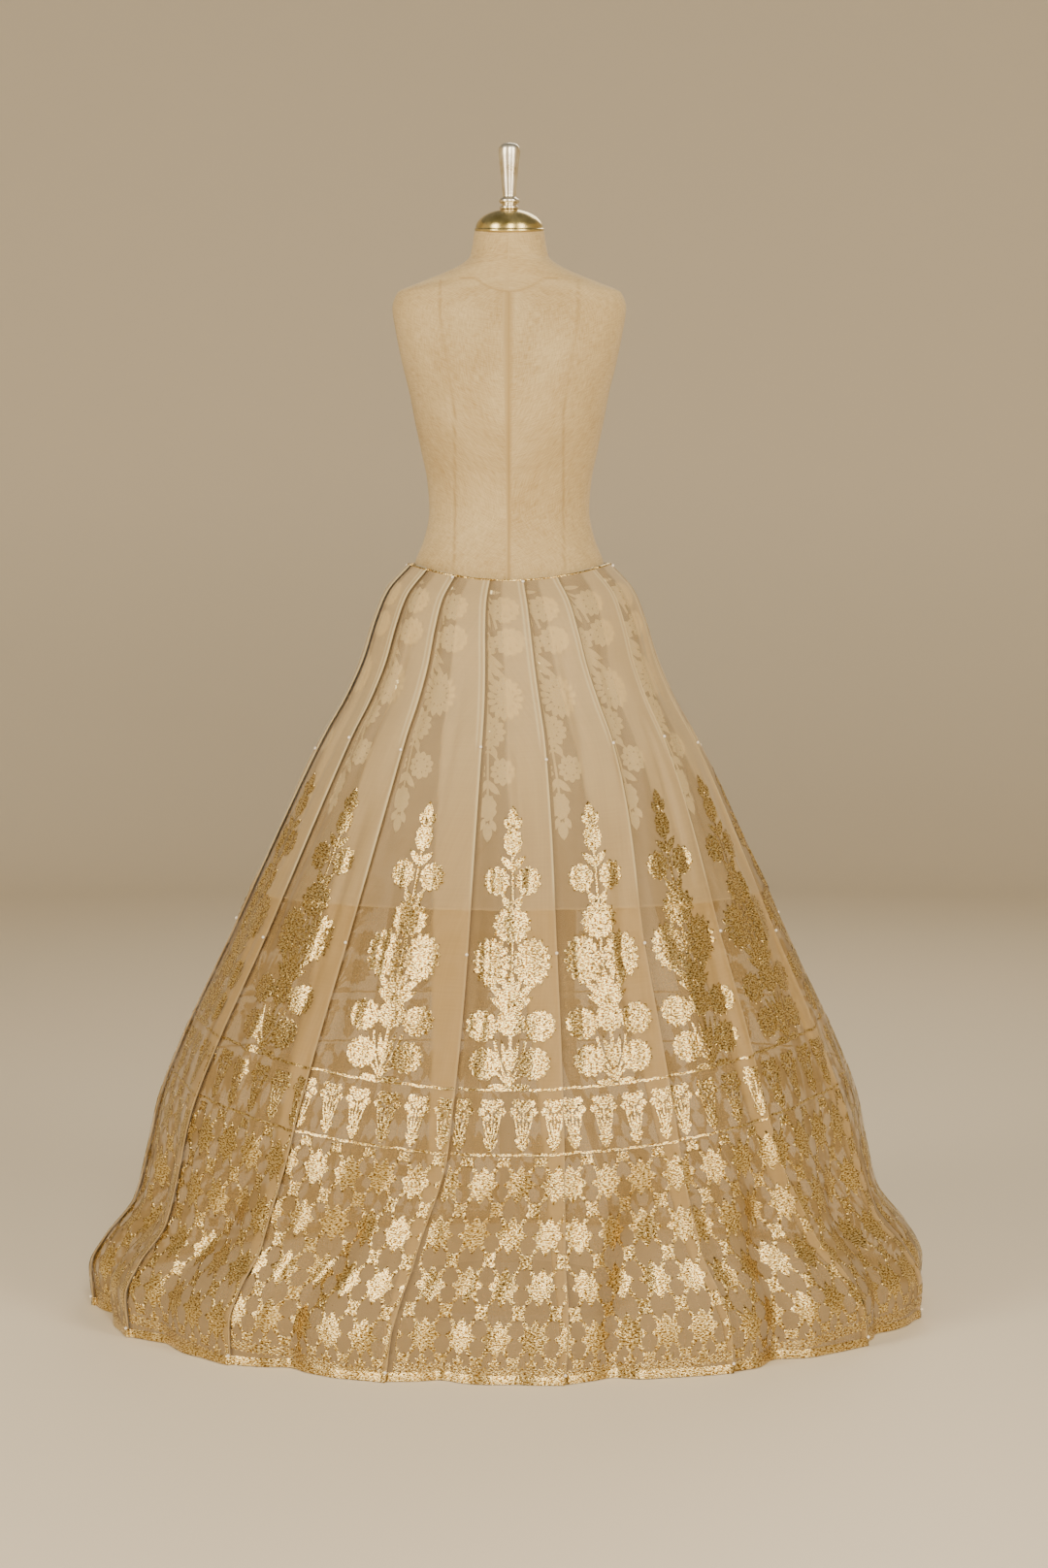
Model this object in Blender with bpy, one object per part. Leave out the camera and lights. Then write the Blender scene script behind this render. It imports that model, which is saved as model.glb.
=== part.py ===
"""Pleated lehenga skirt standing on a limbless dress form.

Metres, +Z up, the front faces -Y. The origin is on the floor under the middle.
The skirt is a knife-pleated wall: each pleat is a panel whose right edge folds
back under itself, and the next panel starts below that fold.
"""

from collections import namedtuple
from math import cos, pi, radians, sin

import bmesh
import bpy
import numpy as np

CLOTH = 0.0016            # wall of the pleated brocade organza, measured level
TURNED_CLOTH = 0.0012     # wall of the single layer turned down inside
LAYER_PITCH = 0.0028      # middle of one folded layer to the middle of the next
GAP = 0.0003              # clearance between pieces that touch

WAIST_FRONT = 1.121       # height of the waist edge at the front
WAIST_SIDE = 1.146        # and at the sides and the back
WAIST_DIP_END = 0.90      # below this height the rings are level
TURNED_END = 0.645        # lower edge of the layer turned down inside
TURNED_CLEARANCE = 0.0010
TURNED_TOP_SEGMENTS = 48
EDGE_HEIGHT = 0.0045      # woven gold edge at the waist
EDGE_WALL = 0.0012
HEM_HEIGHT = 0.012        # gold turned hem
HEM_WALL = 0.0012
HEM_LIFT = 0.0010         # the band clears the floor, the wall stands on it

PANEL_RISE = 0.30         # share of a panel in which it climbs out from its fold
FOLD_LIMIT = 0.60         # a fold goes under at most this share of its panel
TROUGH_DEPTH = 0.009      # diagonal crease across each panel near the floor
TROUGH_TOP = 0.32         # height where it starts, by the panel's right edge
TROUGH_TOP_PLACE = 0.74   # share of the panel's width at that height
TROUGH_FLOOR_PLACE = 0.32

# One row for each ring of the skirt. flat is the share by which a panel is a
# straight facet between its folds, fold is how far the cloth goes back under.
Ring = namedtuple("Ring", "height half_width half_depth flat fold")
RINGS = [
    Ring(1.146, 0.1555, 0.1180, 0.1, 0.030),
    Ring(1.104, 0.1930, 0.1500, 0.2, 0.040),
    Ring(1.058, 0.2120, 0.1710, 0.3, 0.045),
    Ring(1.000, 0.2300, 0.1890, 0.3, 0.050),
    Ring(0.942, 0.2560, 0.2120, 0.4, 0.055),
    Ring(0.887, 0.2870, 0.2380, 0.4, 0.060),
    Ring(0.752, 0.3520, 0.2960, 0.4, 0.058),
    Ring(0.600, 0.4210, 0.3540, 0.4, 0.052),
    Ring(0.420, 0.5060, 0.4240, 0.6, 0.036),
    Ring(0.318, 0.5460, 0.4590, 0.7, 0.028),
    Ring(0.235, 0.5650, 0.4770, 0.8, 0.022),
    Ring(0.165, 0.5850, 0.4930, 0.9, 0.017),
    Ring(0.108, 0.6300, 0.5110, 0.9, 0.013),
    Ring(0.060, 0.6540, 0.5220, 0.9, 0.010),
    Ring(0.013, 0.6500, 0.5280, 0.9, 0.008),
    Ring(0.000, 0.6480, 0.5290, 0.9, 0.008),
]

# One row for each fold of half the skirt: where its edge lies round the ring, in
# degrees from the front towards +X, at six heights. Half a turn on they repeat.
PLEAT_HEIGHTS = (1.13, 0.87, 0.58, 0.32, 0.17, 0.0)
Pleat = namedtuple("Pleat", "waist hip thigh knee shin hem")
PLEATS = [
    Pleat(7.5, 10.5, 9.3, 8.3, 7.9, 7.0),
    Pleat(27.3, 32.0, 27.6, 26.5, 28.1, 29.5),
    Pleat(56.3, 53.5, 47.6, 44.8, 50.0, 54.3),
    Pleat(80.0, 76.0, 71.0, 69.0, 71.5, 74.3),
    Pleat(103.0, 99.5, 96.0, 94.0, 96.0, 97.0),
    Pleat(126.0, 124.0, 121.0, 119.0, 119.0, 119.5),
    Pleat(148.0, 147.5, 146.0, 145.0, 142.5, 142.0),
    Pleat(169.0, 172.0, 172.0, 171.0, 167.0, 164.5),
]

# The cloth is joined from four widths, each four pleats wide; a width starts under
# the fold of this number, counted from the first row of PLEATS.
PLEATS_IN_WIDTH = 4
WIDTHS = {"skirt_width_front": -1, "skirt_width_right": 3,
          "skirt_width_back": 7, "skirt_width_left": 11}

# One row for each level of the torso; front and back are its two half depths, and
# fullness is the exponent of its superellipse, 2 for an ellipse.
Level = namedtuple("Level", "height half_width front back fullness")
TORSO = [
    Level(0.860, 0.150, 0.118, 0.120, 2.20),
    Level(0.880, 0.164, 0.130, 0.134, 2.20),
    Level(0.950, 0.174, 0.136, 0.142, 2.20),
    Level(1.020, 0.172, 0.132, 0.138, 2.20),
    Level(1.080, 0.1610, 0.1180, 0.1240, 2.10),
    Level(1.121, 0.1490, 0.1078, 0.1120, 2.00),
    Level(1.146, 0.1453, 0.1060, 0.1078, 2.00),
    Level(1.183, 0.1310, 0.0985, 0.0960, 2.00),
    Level(1.226, 0.1230, 0.0930, 0.0860, 2.05),
    Level(1.270, 0.1260, 0.1000, 0.0860, 2.10),
    Level(1.320, 0.1360, 0.1170, 0.0910, 2.15),
    Level(1.363, 0.1450, 0.1290, 0.0960, 2.20),
    Level(1.405, 0.1530, 0.1290, 0.0990, 2.25),
    Level(1.450, 0.1640, 0.1160, 0.0990, 2.30),
    Level(1.500, 0.1740, 0.0960, 0.0930, 2.40),
    Level(1.535, 0.1790, 0.0800, 0.0850, 2.40),
    Level(1.557, 0.1720, 0.0690, 0.0760, 2.30),
    Level(1.573, 0.1380, 0.0610, 0.0670, 2.20),
    Level(1.587, 0.1030, 0.0565, 0.0610, 2.10),
    Level(1.601, 0.0740, 0.0545, 0.0580, 2.05),
    Level(1.614, 0.0600, 0.0530, 0.0550, 2.00),
    Level(1.652, 0.0530, 0.0500, 0.0500, 2.00),
]
TORSO_SEGMENTS = 36
NECK_TOP = 1.652
NECK_TILT = 0.14          # the neck's top leans down towards the front
NECK_TILT_START = 1.60

CAP_RADIUS = 0.052
CAP_RIM = 0.004
CAP_HEIGHT = 0.032
POLE_RADIUS = 0.016
BASE_RADIUS = 0.190
BASE_HEIGHT = 0.014
BASE_BEVEL = 0.004
SOCKET_RADIUS = 0.028
SOCKET_HEIGHT = 0.045
TURNED_SEGMENTS = 24

# Outline of the handle: height above the cap's top and radius, upwards.
HANDLE = [
    (0.0000, 0.0140), (0.0040, 0.0145), (0.0060, 0.0110), (0.0080, 0.0115),
    (0.0120, 0.0160), (0.0165, 0.0135), (0.0195, 0.0100), (0.0260, 0.0105),
    (0.0600, 0.0140), (0.0860, 0.0165), (0.0940, 0.0155), (0.0985, 0.0115),
    (0.1005, 0.0050),
]


def clear_scene():
    """Remove every object that the scene starts with."""
    for old in list(bpy.data.objects):
        bpy.data.objects.remove(old, do_unlink=True)


def material(name, color, roughness, metallic=0.0):
    """A Principled BSDF in one linear colour."""
    made = bpy.data.materials.new(name)
    made.use_nodes = True
    shader = made.node_tree.nodes["Principled BSDF"]
    shader.inputs["Base Color"].default_value = (*color, 1.0)
    shader.inputs["Roughness"].default_value = roughness
    shader.inputs["Metallic"].default_value = metallic
    return made


def grid_faces(rows, columns, closed):
    """Quads of a grid whose columns run round, anticlockwise from above, and
    whose rows run down: they face outwards."""
    faces = []
    for row in range(rows - 1):
        for column in range(columns if closed else columns - 1):
            right = (column + 1) % columns
            faces.append((row * columns + column, (row + 1) * columns + column,
                          (row + 1) * columns + right, row * columns + right))
    return faces


def add_object(name, points, faces, finish):
    """Make one smooth-shaded object from points and faces."""
    mesh = bpy.data.meshes.new(name)
    mesh.from_pydata([tuple(point) for point in points], [], faces)
    bm = bmesh.new()
    bm.from_mesh(mesh)
    bmesh.ops.triangulate(bm, faces=bm.faces[:])
    bmesh.ops.recalc_face_normals(bm, faces=bm.faces[:])
    bm.to_mesh(mesh)
    bm.free()
    mesh.shade_smooth()
    mesh.set_sharp_from_angle(angle=radians(40))
    mesh.materials.append(finish)
    made = bpy.data.objects.new(name, mesh)
    bpy.context.collection.objects.link(made)
    return made


def wall_object(name, outer, inner, closed, finish):
    """A wall between two grids of points, each (rows, columns, 3)."""
    rows, columns = outer.shape[:2]
    count = rows * columns
    faces = grid_faces(rows, columns, closed)
    faces += [tuple(count + corner for corner in reversed(face)) for face in faces]
    for column in range(columns if closed else columns - 1):
        right = (column + 1) % columns
        low, low_right = (rows - 1) * columns + column, (rows - 1) * columns + right
        faces.append((column, right, count + right, count + column))
        faces.append((low_right, low, count + low, count + low_right))
    if not closed:
        last = columns - 1
        for row in range(rows - 1):
            top, below = row * columns, (row + 1) * columns
            faces.append((top, count + top, count + below, below))
            faces.append((below + last, count + below + last, count + top + last, top + last))
    points = np.concatenate([outer.reshape(-1, 3), inner.reshape(-1, 3)])
    return add_object(name, points, faces, finish)


def ring_at(height):
    """The skirt's ring at a height, read between the rows of RINGS."""
    heights = [ring.height for ring in RINGS[::-1]]
    values = [np.interp(height, heights, [ring[field] for ring in RINGS[::-1]])
              for field in range(1, 5)]
    return Ring(height, *values)


def edge_angle(fold, height):
    """Angle of a fold's edge at a height; folds past the last row repeat."""
    turns, row = divmod(fold, len(PLEATS))
    degrees = np.interp(height, PLEAT_HEIGHTS[::-1], PLEATS[row][::-1])
    return radians(degrees) + turns * pi


def ellipse(ring, angle):
    """Point of the ring's ellipse, with the front at angle 0."""
    return np.array([ring.half_width * sin(angle), -ring.half_depth * cos(angle)])


def ellipse_normal(ring, angle):
    """Outward unit normal of the ellipse."""
    normal = np.array([sin(angle) / ring.half_width, -cos(angle) / ring.half_depth])
    return normal / np.linalg.norm(normal)


def trough_place(height):
    """Where the diagonal crease lies on a panel, as a share of its width."""
    fall = min(max((TROUGH_TOP - height) / TROUGH_TOP, 0.0), 1.0)
    if height > TROUGH_TOP:
        return 0.5 + (TROUGH_TOP_PLACE - 0.5) * max(0.0, 1.0 - (height - TROUGH_TOP) / 0.2)
    return TROUGH_TOP_PLACE + fall * (TROUGH_FLOOR_PLACE - TROUGH_TOP_PLACE)


def trough_depth(height):
    """Depth of the crease: none at its top, full half of the way down."""
    fall = (TROUGH_TOP - height) / TROUGH_TOP
    return TROUGH_DEPTH * min(max(fall * 2.0, 0.0), 1.0)


def panel_point(ring, start, end, share):
    """Middle of the cloth on the panel between two fold angles."""
    on_ellipse = ellipse(ring, start + share * (end - start))
    on_chord = ellipse(ring, start) * (1.0 - share) + ellipse(ring, end) * share
    return on_ellipse * (1.0 - ring.flat) + on_chord * ring.flat


def pleat_points(ring, fold):
    """Middle line of one pleat: out from under fold `fold`, over its panel to
    the next fold's edge and back under it. Returns 8 points."""
    start, end = edge_angle(fold, ring.height), edge_angle(fold + 1, ring.height)
    before = edge_angle(fold - 1, ring.height)

    def under(low, high):
        width = np.linalg.norm(ellipse(ring, high) - ellipse(ring, low))
        share = 1.0 - min(ring.fold / width, FOLD_LIMIT)
        return panel_point(ring, low, high, share)

    normal, next_normal = ellipse_normal(ring, start), ellipse_normal(ring, end)
    crease = trough_place(ring.height)
    middle = ellipse_normal(ring, start + crease * (end - start))
    return [
        under(before, start) - 2.0 * LAYER_PITCH * normal,
        ellipse(ring, start) - 2.0 * LAYER_PITCH * normal,
        panel_point(ring, start, end, PANEL_RISE * min(1.0, crease / 0.5)),
        panel_point(ring, start, end, crease) - trough_depth(ring.height) * middle,
        panel_point(ring, start, end, (1.0 + crease) / 2.0),
        ellipse(ring, end),
        ellipse(ring, end) - LAYER_PITCH * next_normal,
        under(start, end) - LAYER_PITCH * next_normal,
    ]


def offset_line(line, distance, closed):
    """Move a polyline to its right side (outwards) by a distance, mitred."""
    steps = np.roll(line, -1, axis=0) - line
    if not closed:
        steps[-1] = steps[-2]
    steps /= np.linalg.norm(steps, axis=1, keepdims=True)
    normals = np.column_stack([steps[:, 1], -steps[:, 0]])
    before = np.roll(normals, 1, axis=0)
    if not closed:
        before[0] = normals[0]
    mitre = normals + before
    mitre *= (2.0 / np.sum(mitre * mitre, axis=1, keepdims=True))
    return line + distance * mitre


def waist_drop(line, height):
    """How far a ring near the waist dips at the front, for each of its points."""
    reach = (height - WAIST_DIP_END) / (WAIST_SIDE - WAIST_DIP_END)
    turn = np.arctan2(line[:, 0], -line[:, 1])
    front = np.clip(np.cos(turn), 0.0, None) ** 2
    return (WAIST_SIDE - WAIST_FRONT) * front * max(0.0, reach)


def raise_line(line, height, drop):
    """Give a level polyline its height, less the waist's dip."""
    return np.column_stack([line, height - drop])


def skirt_width(name, first, finish):
    """The pleated wall of one width from fold first on, from waist to floor."""
    folds = range(first, first + PLEATS_IN_WIDTH)
    outer, inner = [], []
    for ring in RINGS:
        line = np.concatenate([pleat_points(ring, fold) for fold in folds])
        drop = waist_drop(line, ring.height)
        outer.append(raise_line(offset_line(line, CLOTH / 2, False), ring.height, drop))
        inner.append(raise_line(offset_line(line, -CLOTH / 2, False), ring.height, drop))
    return wall_object(name, np.array(outer), np.array(inner), False, finish)


def visible_line(ring):
    """The outline that shows all round: each panel and the step at its edge."""
    folds = range(2 * len(PLEATS))
    return np.concatenate([pleat_points(ring, fold)[1:6] for fold in folds])


def lifted_line(ring, lift):
    """The visible outline of a ring moved outwards, at its height."""
    line = visible_line(ring)
    drop = waist_drop(line, ring.height)
    return raise_line(offset_line(line, lift, True), ring.height, drop)


def lifted_at(height, lift):
    """The lifted outline at any height, blended between the wall's own rings."""
    above = [ring for ring in RINGS if ring.height >= height][-1]
    below = [ring for ring in RINGS if ring.height <= height][0]
    if above is below:
        return lifted_line(above, lift)
    share = (height - below.height) / (above.height - below.height)
    return lifted_line(above, lift) * share + lifted_line(below, lift) * (1.0 - share)


def band(name, heights, wall, finish):
    """A band that follows the pleats just outside the skirt between heights."""
    near = CLOTH / 2 + GAP
    inner = [lifted_at(height, near) for height in heights]
    outer = [lifted_at(height, near + wall) for height in heights]
    return wall_object(name, np.array(outer), np.array(inner), True, finish)


def wall_reach(ring):
    """How far the pleated wall, folds and all, reaches in from the ring's ellipse."""
    line = np.concatenate([pleat_points(ring, fold) for fold in range(2 * len(PLEATS))])
    line = offset_line(line, -CLOTH / 2, True)
    line = np.concatenate([line, (line + np.roll(line, -1, axis=0)) / 2.0])
    scale = np.hypot(line[:, 0] / ring.half_width, line[:, 1] / ring.half_depth)
    return np.max((1.0 - scale) * np.linalg.norm(line, axis=1))


def turned_top(finish):
    """The layer turned down inside: a smooth tube that clears every fold."""
    angles = np.linspace(0.0, 2.0 * pi, TURNED_TOP_SEGMENTS, endpoint=False)
    heights = [ring.height for ring in RINGS if ring.height > TURNED_END] + [TURNED_END]
    outer, inner = [], []
    for height in heights:
        ring = ring_at(height)
        reach = wall_reach(ring) + TURNED_CLEARANCE
        for side, grid in ((reach, outer), (reach + TURNED_CLOTH, inner)):
            line = np.column_stack([(ring.half_width - side) * np.sin(angles),
                                    -(ring.half_depth - side) * np.cos(angles)])
            grid.append(raise_line(line, height, waist_drop(line, height)))
    return wall_object("skirt_turned_top", np.array(outer), np.array(inner), True, finish)


def torso(finish):
    """The torso: superellipse levels, each with its own front and back depth."""
    angles = np.linspace(0.0, 2.0 * pi, TORSO_SEGMENTS, endpoint=False)
    points = []
    for level in TORSO[::-1]:
        power = 2.0 / level.fullness
        across = np.sign(np.sin(angles)) * np.abs(np.sin(angles)) ** power
        forward = np.sign(np.cos(angles)) * np.abs(np.cos(angles)) ** power
        depth = np.where(forward > 0.0, level.front, level.back)
        y = -forward * depth
        lean = max(0.0, (level.height - NECK_TILT_START) / (NECK_TOP - NECK_TILT_START))
        z = level.height + NECK_TILT * lean * y
        points.append(np.column_stack([across * level.half_width, y, z]))
    return closed_rings("form_torso", np.array(points), finish)


def closed_rings(name, rings, finish):
    """A solid through rings of points from the top down, capped at both ends."""
    rows, columns = rings.shape[:2]
    faces = grid_faces(rows, columns, True)
    faces.append(tuple(range(columns)))
    faces.append(tuple(reversed(range((rows - 1) * columns, rows * columns))))
    return add_object(name, rings.reshape(-1, 3), faces, finish)


def turned(name, outline, finish, lean=0.0, lean_from=0.0, lean_to=1.0):
    """A turned solid from (height, radius) pairs upwards. Its lower end may lean
    with the neck, less and less up to lean_to."""
    angles = np.linspace(0.0, 2.0 * pi, TURNED_SEGMENTS, endpoint=False)
    rings = []
    for height, radius in outline[::-1]:
        y = -radius * np.cos(angles)
        share = max(0.0, min(1.0, (lean_to - height) / (lean_to - lean_from)))
        rings.append(np.column_stack([radius * np.sin(angles), y, height + lean * share * y]))
    return closed_rings(name, np.array(rings), finish)


def neck_cap(finish):
    """A dome with a short rim, resting on the neck and leaning with it."""
    bottom = NECK_TOP + GAP
    steps = 7
    outline = [(bottom, CAP_RADIUS), (bottom + CAP_RIM, CAP_RADIUS + 0.0012)]
    for step in range(1, steps):
        turn = 0.5 * pi * step / steps
        outline.append((bottom + CAP_RIM + (CAP_HEIGHT - CAP_RIM) * sin(turn),
                        CAP_RADIUS * cos(turn)))
    return turned("form_neck_cap", outline, finish, NECK_TILT, bottom, bottom + CAP_HEIGHT)


def finial(finish):
    """The handle, standing on the cap's flat top."""
    top_turn = 0.5 * pi * 6 / 7
    seat = NECK_TOP + GAP + CAP_RIM + (CAP_HEIGHT - CAP_RIM) * sin(top_turn) + GAP
    return turned("form_finial", [(seat + rise, radius) for rise, radius in HANDLE], finish)


def stand(finish):
    """Floor plate, the socket on it, and the pole from there up to the torso."""
    turned("form_base", [(0.0, BASE_RADIUS), (BASE_HEIGHT - BASE_BEVEL, BASE_RADIUS),
                         (BASE_HEIGHT, BASE_RADIUS - BASE_BEVEL)], finish)
    socket_top = BASE_HEIGHT + SOCKET_HEIGHT
    turned("form_socket", [(BASE_HEIGHT + GAP, SOCKET_RADIUS * 1.3),
                           (socket_top, SOCKET_RADIUS)], finish)
    turned("form_pole", [(socket_top + GAP, POLE_RADIUS),
                         (TORSO[0].height - GAP, POLE_RADIUS)], finish)


def build():
    clear_scene()
    organza = material("brocade organza", (0.62, 0.52, 0.38), 0.6)
    zari = material("gold zari edge", (0.72, 0.58, 0.30), 0.35, 1.0)
    linen = material("linen cover", (0.60, 0.53, 0.42), 0.9)
    metal = material("champagne metal", (0.60, 0.52, 0.34), 0.3, 1.0)
    steel = material("painted steel", (0.55, 0.53, 0.50), 0.5)

    for name, first in WIDTHS.items():
        skirt_width(name, first, organza)
    turned_top(organza)
    band("skirt_waist_edge", (WAIST_SIDE, WAIST_SIDE - EDGE_HEIGHT), EDGE_WALL, zari)
    band("skirt_hem_band", (HEM_LIFT + HEM_HEIGHT, HEM_LIFT), HEM_WALL, zari)
    torso(linen)
    neck_cap(metal)
    finial(metal)
    stand(steel)


build()
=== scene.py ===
"""Looks of a pleated organza lehenga skirt on a linen-covered dress form.

The cloth is a knife-pleated sheet whose every point is worked out from four numbers:
the pleat, the share of its panel from the left fold to the right one, the height, and
how far the point is lifted off the middle of the cloth. Woven gold motifs are thin
flakes laid on that same surface. Metres, +Z up, the front faces -Y.
"""

from math import cos, pi, radians, sin

import bpy
import numpy as np
from bpy.props import FloatProperty, FloatVectorProperty, IntProperty, PointerProperty
from bpy.types import Operator, Panel, PropertyGroup
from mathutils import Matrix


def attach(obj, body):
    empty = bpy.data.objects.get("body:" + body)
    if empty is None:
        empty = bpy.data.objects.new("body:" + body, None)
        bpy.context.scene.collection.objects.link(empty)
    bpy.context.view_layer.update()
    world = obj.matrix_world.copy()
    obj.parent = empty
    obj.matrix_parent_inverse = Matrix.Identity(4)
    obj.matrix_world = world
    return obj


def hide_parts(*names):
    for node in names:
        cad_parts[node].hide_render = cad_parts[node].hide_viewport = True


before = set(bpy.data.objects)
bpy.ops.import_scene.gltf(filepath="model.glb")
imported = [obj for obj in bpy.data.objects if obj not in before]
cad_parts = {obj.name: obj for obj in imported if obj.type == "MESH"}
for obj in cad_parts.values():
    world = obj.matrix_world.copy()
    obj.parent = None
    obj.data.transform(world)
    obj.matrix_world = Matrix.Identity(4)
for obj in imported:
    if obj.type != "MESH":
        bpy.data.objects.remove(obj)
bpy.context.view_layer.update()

bl_info = {
    "name": "Pleated lehenga skirt",
    "version": (1, 0, 0),
    "blender": (4, 5, 0),
    "location": "View3D > Sidebar > Lehenga",
    "description": "Sheer pleated skirt with woven gold motifs on a dress form",
    "category": "Add Mesh",
}

# Cloth and its folds, as in the solids
LAYER_PITCH = 0.0028      # middle of one folded layer to the middle of the next
INNER_PLY = 0.0010        # the turned-down ply lies this far inside the outer one
WAIST_FRONT = 1.121
WAIST_SIDE = 1.146
WAIST_DIP_END = 0.90
TURNED_END = 0.645
PANEL_RISE = 0.30
FOLD_LIMIT = 0.60
FOLD_VALLEY = 0.0016      # extra depth of the cloth just right of each fold
VALLEY_PLACE = 0.10       # share of the panel where that is deepest
VALLEY_SPREAD = 0.07
TURNED_STEP = 0.0022      # the outer cloth steps out over the edge of the ply inside it
RIPPLE_HEIGHT = 0.0012    # height of the longest wave of handled cloth
CREASE_UNIT = 0.0022      # metres that a crease of depth 1 sinks

# The skirt's rings, listed from the waist down: height, half width, half depth, the share
# by which a panel is a straight facet, and how far the cloth goes back under each fold.
RINGS = np.array([
    (1.146, 0.1555, 0.1180, 0.1, 0.030),
    (1.104, 0.1930, 0.1500, 0.2, 0.040),
    (1.058, 0.2120, 0.1710, 0.3, 0.045),
    (1.000, 0.2300, 0.1890, 0.3, 0.050),
    (0.942, 0.2560, 0.2120, 0.4, 0.055),
    (0.887, 0.2870, 0.2380, 0.4, 0.060),
    (0.752, 0.3520, 0.2960, 0.4, 0.058),
    (0.600, 0.4210, 0.3540, 0.4, 0.052),
    (0.420, 0.5060, 0.4240, 0.6, 0.036),
    (0.318, 0.5460, 0.4590, 0.7, 0.028),
    (0.235, 0.5650, 0.4770, 0.8, 0.022),
    (0.165, 0.5850, 0.4930, 0.9, 0.017),
    (0.108, 0.6300, 0.5110, 0.9, 0.013),
    (0.060, 0.6540, 0.5220, 0.9, 0.010),
    (0.013, 0.6500, 0.5280, 0.9, 0.008),
    (0.000, 0.6480, 0.5290, 0.9, 0.008),
])[::-1]

# Where each fold's edge lies round the ring at six heights, in degrees from the front
# towards +X. The eight folds of half the skirt repeat half a turn on.
FOLD_HEIGHTS = (0.0, 0.17, 0.32, 0.58, 0.87, 1.13)
FOLDS = np.array([
    (7.0, 7.9, 8.3, 9.3, 10.5, 7.5),
    (29.5, 28.1, 26.5, 27.6, 32.0, 27.3),
    (54.3, 50.0, 44.8, 47.6, 53.5, 56.3),
    (74.3, 71.5, 69.0, 71.0, 76.0, 80.0),
    (97.0, 96.0, 94.0, 96.0, 99.5, 103.0),
    (119.5, 119.0, 119.0, 121.0, 124.0, 126.0),
    (142.0, 142.5, 145.0, 146.0, 147.5, 148.0),
    (164.5, 167.0, 171.0, 172.0, 172.0, 169.0),
])
FOOT_SHADE = 0.006        # width of the painted shadow at the foot of each fold
EDGE_WIDTH = 0.0030       # width of the painted highlight along a fold's edge
TUCK_WIDTH = 0.0070       # a second line of painted highlight, for a tuck's edge, runs this far from the fold's edge
TUCK_END = 0.86           # and ends at the upper pins
CLOSER_AT_FOLDS = 0.45    # how much closer the columns of the cloth lie by the folds
LAYER_BLUR = 0.005        # width over which one layer of cloth becomes three
SINGLE_TONE = 0.52        # how light one layer is painted beside three: painted shade for the shaded inside seen through one layer
LOWER_TONE = 0.12         # and how much lighter that painted shade is below the turned-down ply
PLEATS = 2 * len(FOLDS)
WIDTH_PLEATS = 4
WIDTHS = {"front": -1, "right": 3, "back": 7, "left": 11}

# The diagonal crease of each panel near the floor: its depth, then its place as a
# share of the panel's width at the height where it starts and at the floor.
TROUGH_TOP = 0.33
TROUGHS = np.array([
    (0.013, 0.72, 0.30), (0.012, 0.78, 0.36), (0.010, 0.70, 0.34), (0.009, 0.66, 0.38),
    (0.011, 0.76, 0.30), (0.012, 0.70, 0.26), (0.010, 0.80, 0.40), (0.013, 0.74, 0.30),
    (0.011, 0.72, 0.34), (0.013, 0.68, 0.28), (0.009, 0.76, 0.38), (0.011, 0.70, 0.32),
    (0.012, 0.74, 0.36), (0.010, 0.78, 0.30), (0.012, 0.68, 0.34), (0.009, 0.60, 0.30),
])
TROUGH_WIDTH = 0.034
TROUGH_SINK = 1.9         # the thin cloth sinks this much deeper than its solid's wall
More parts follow.
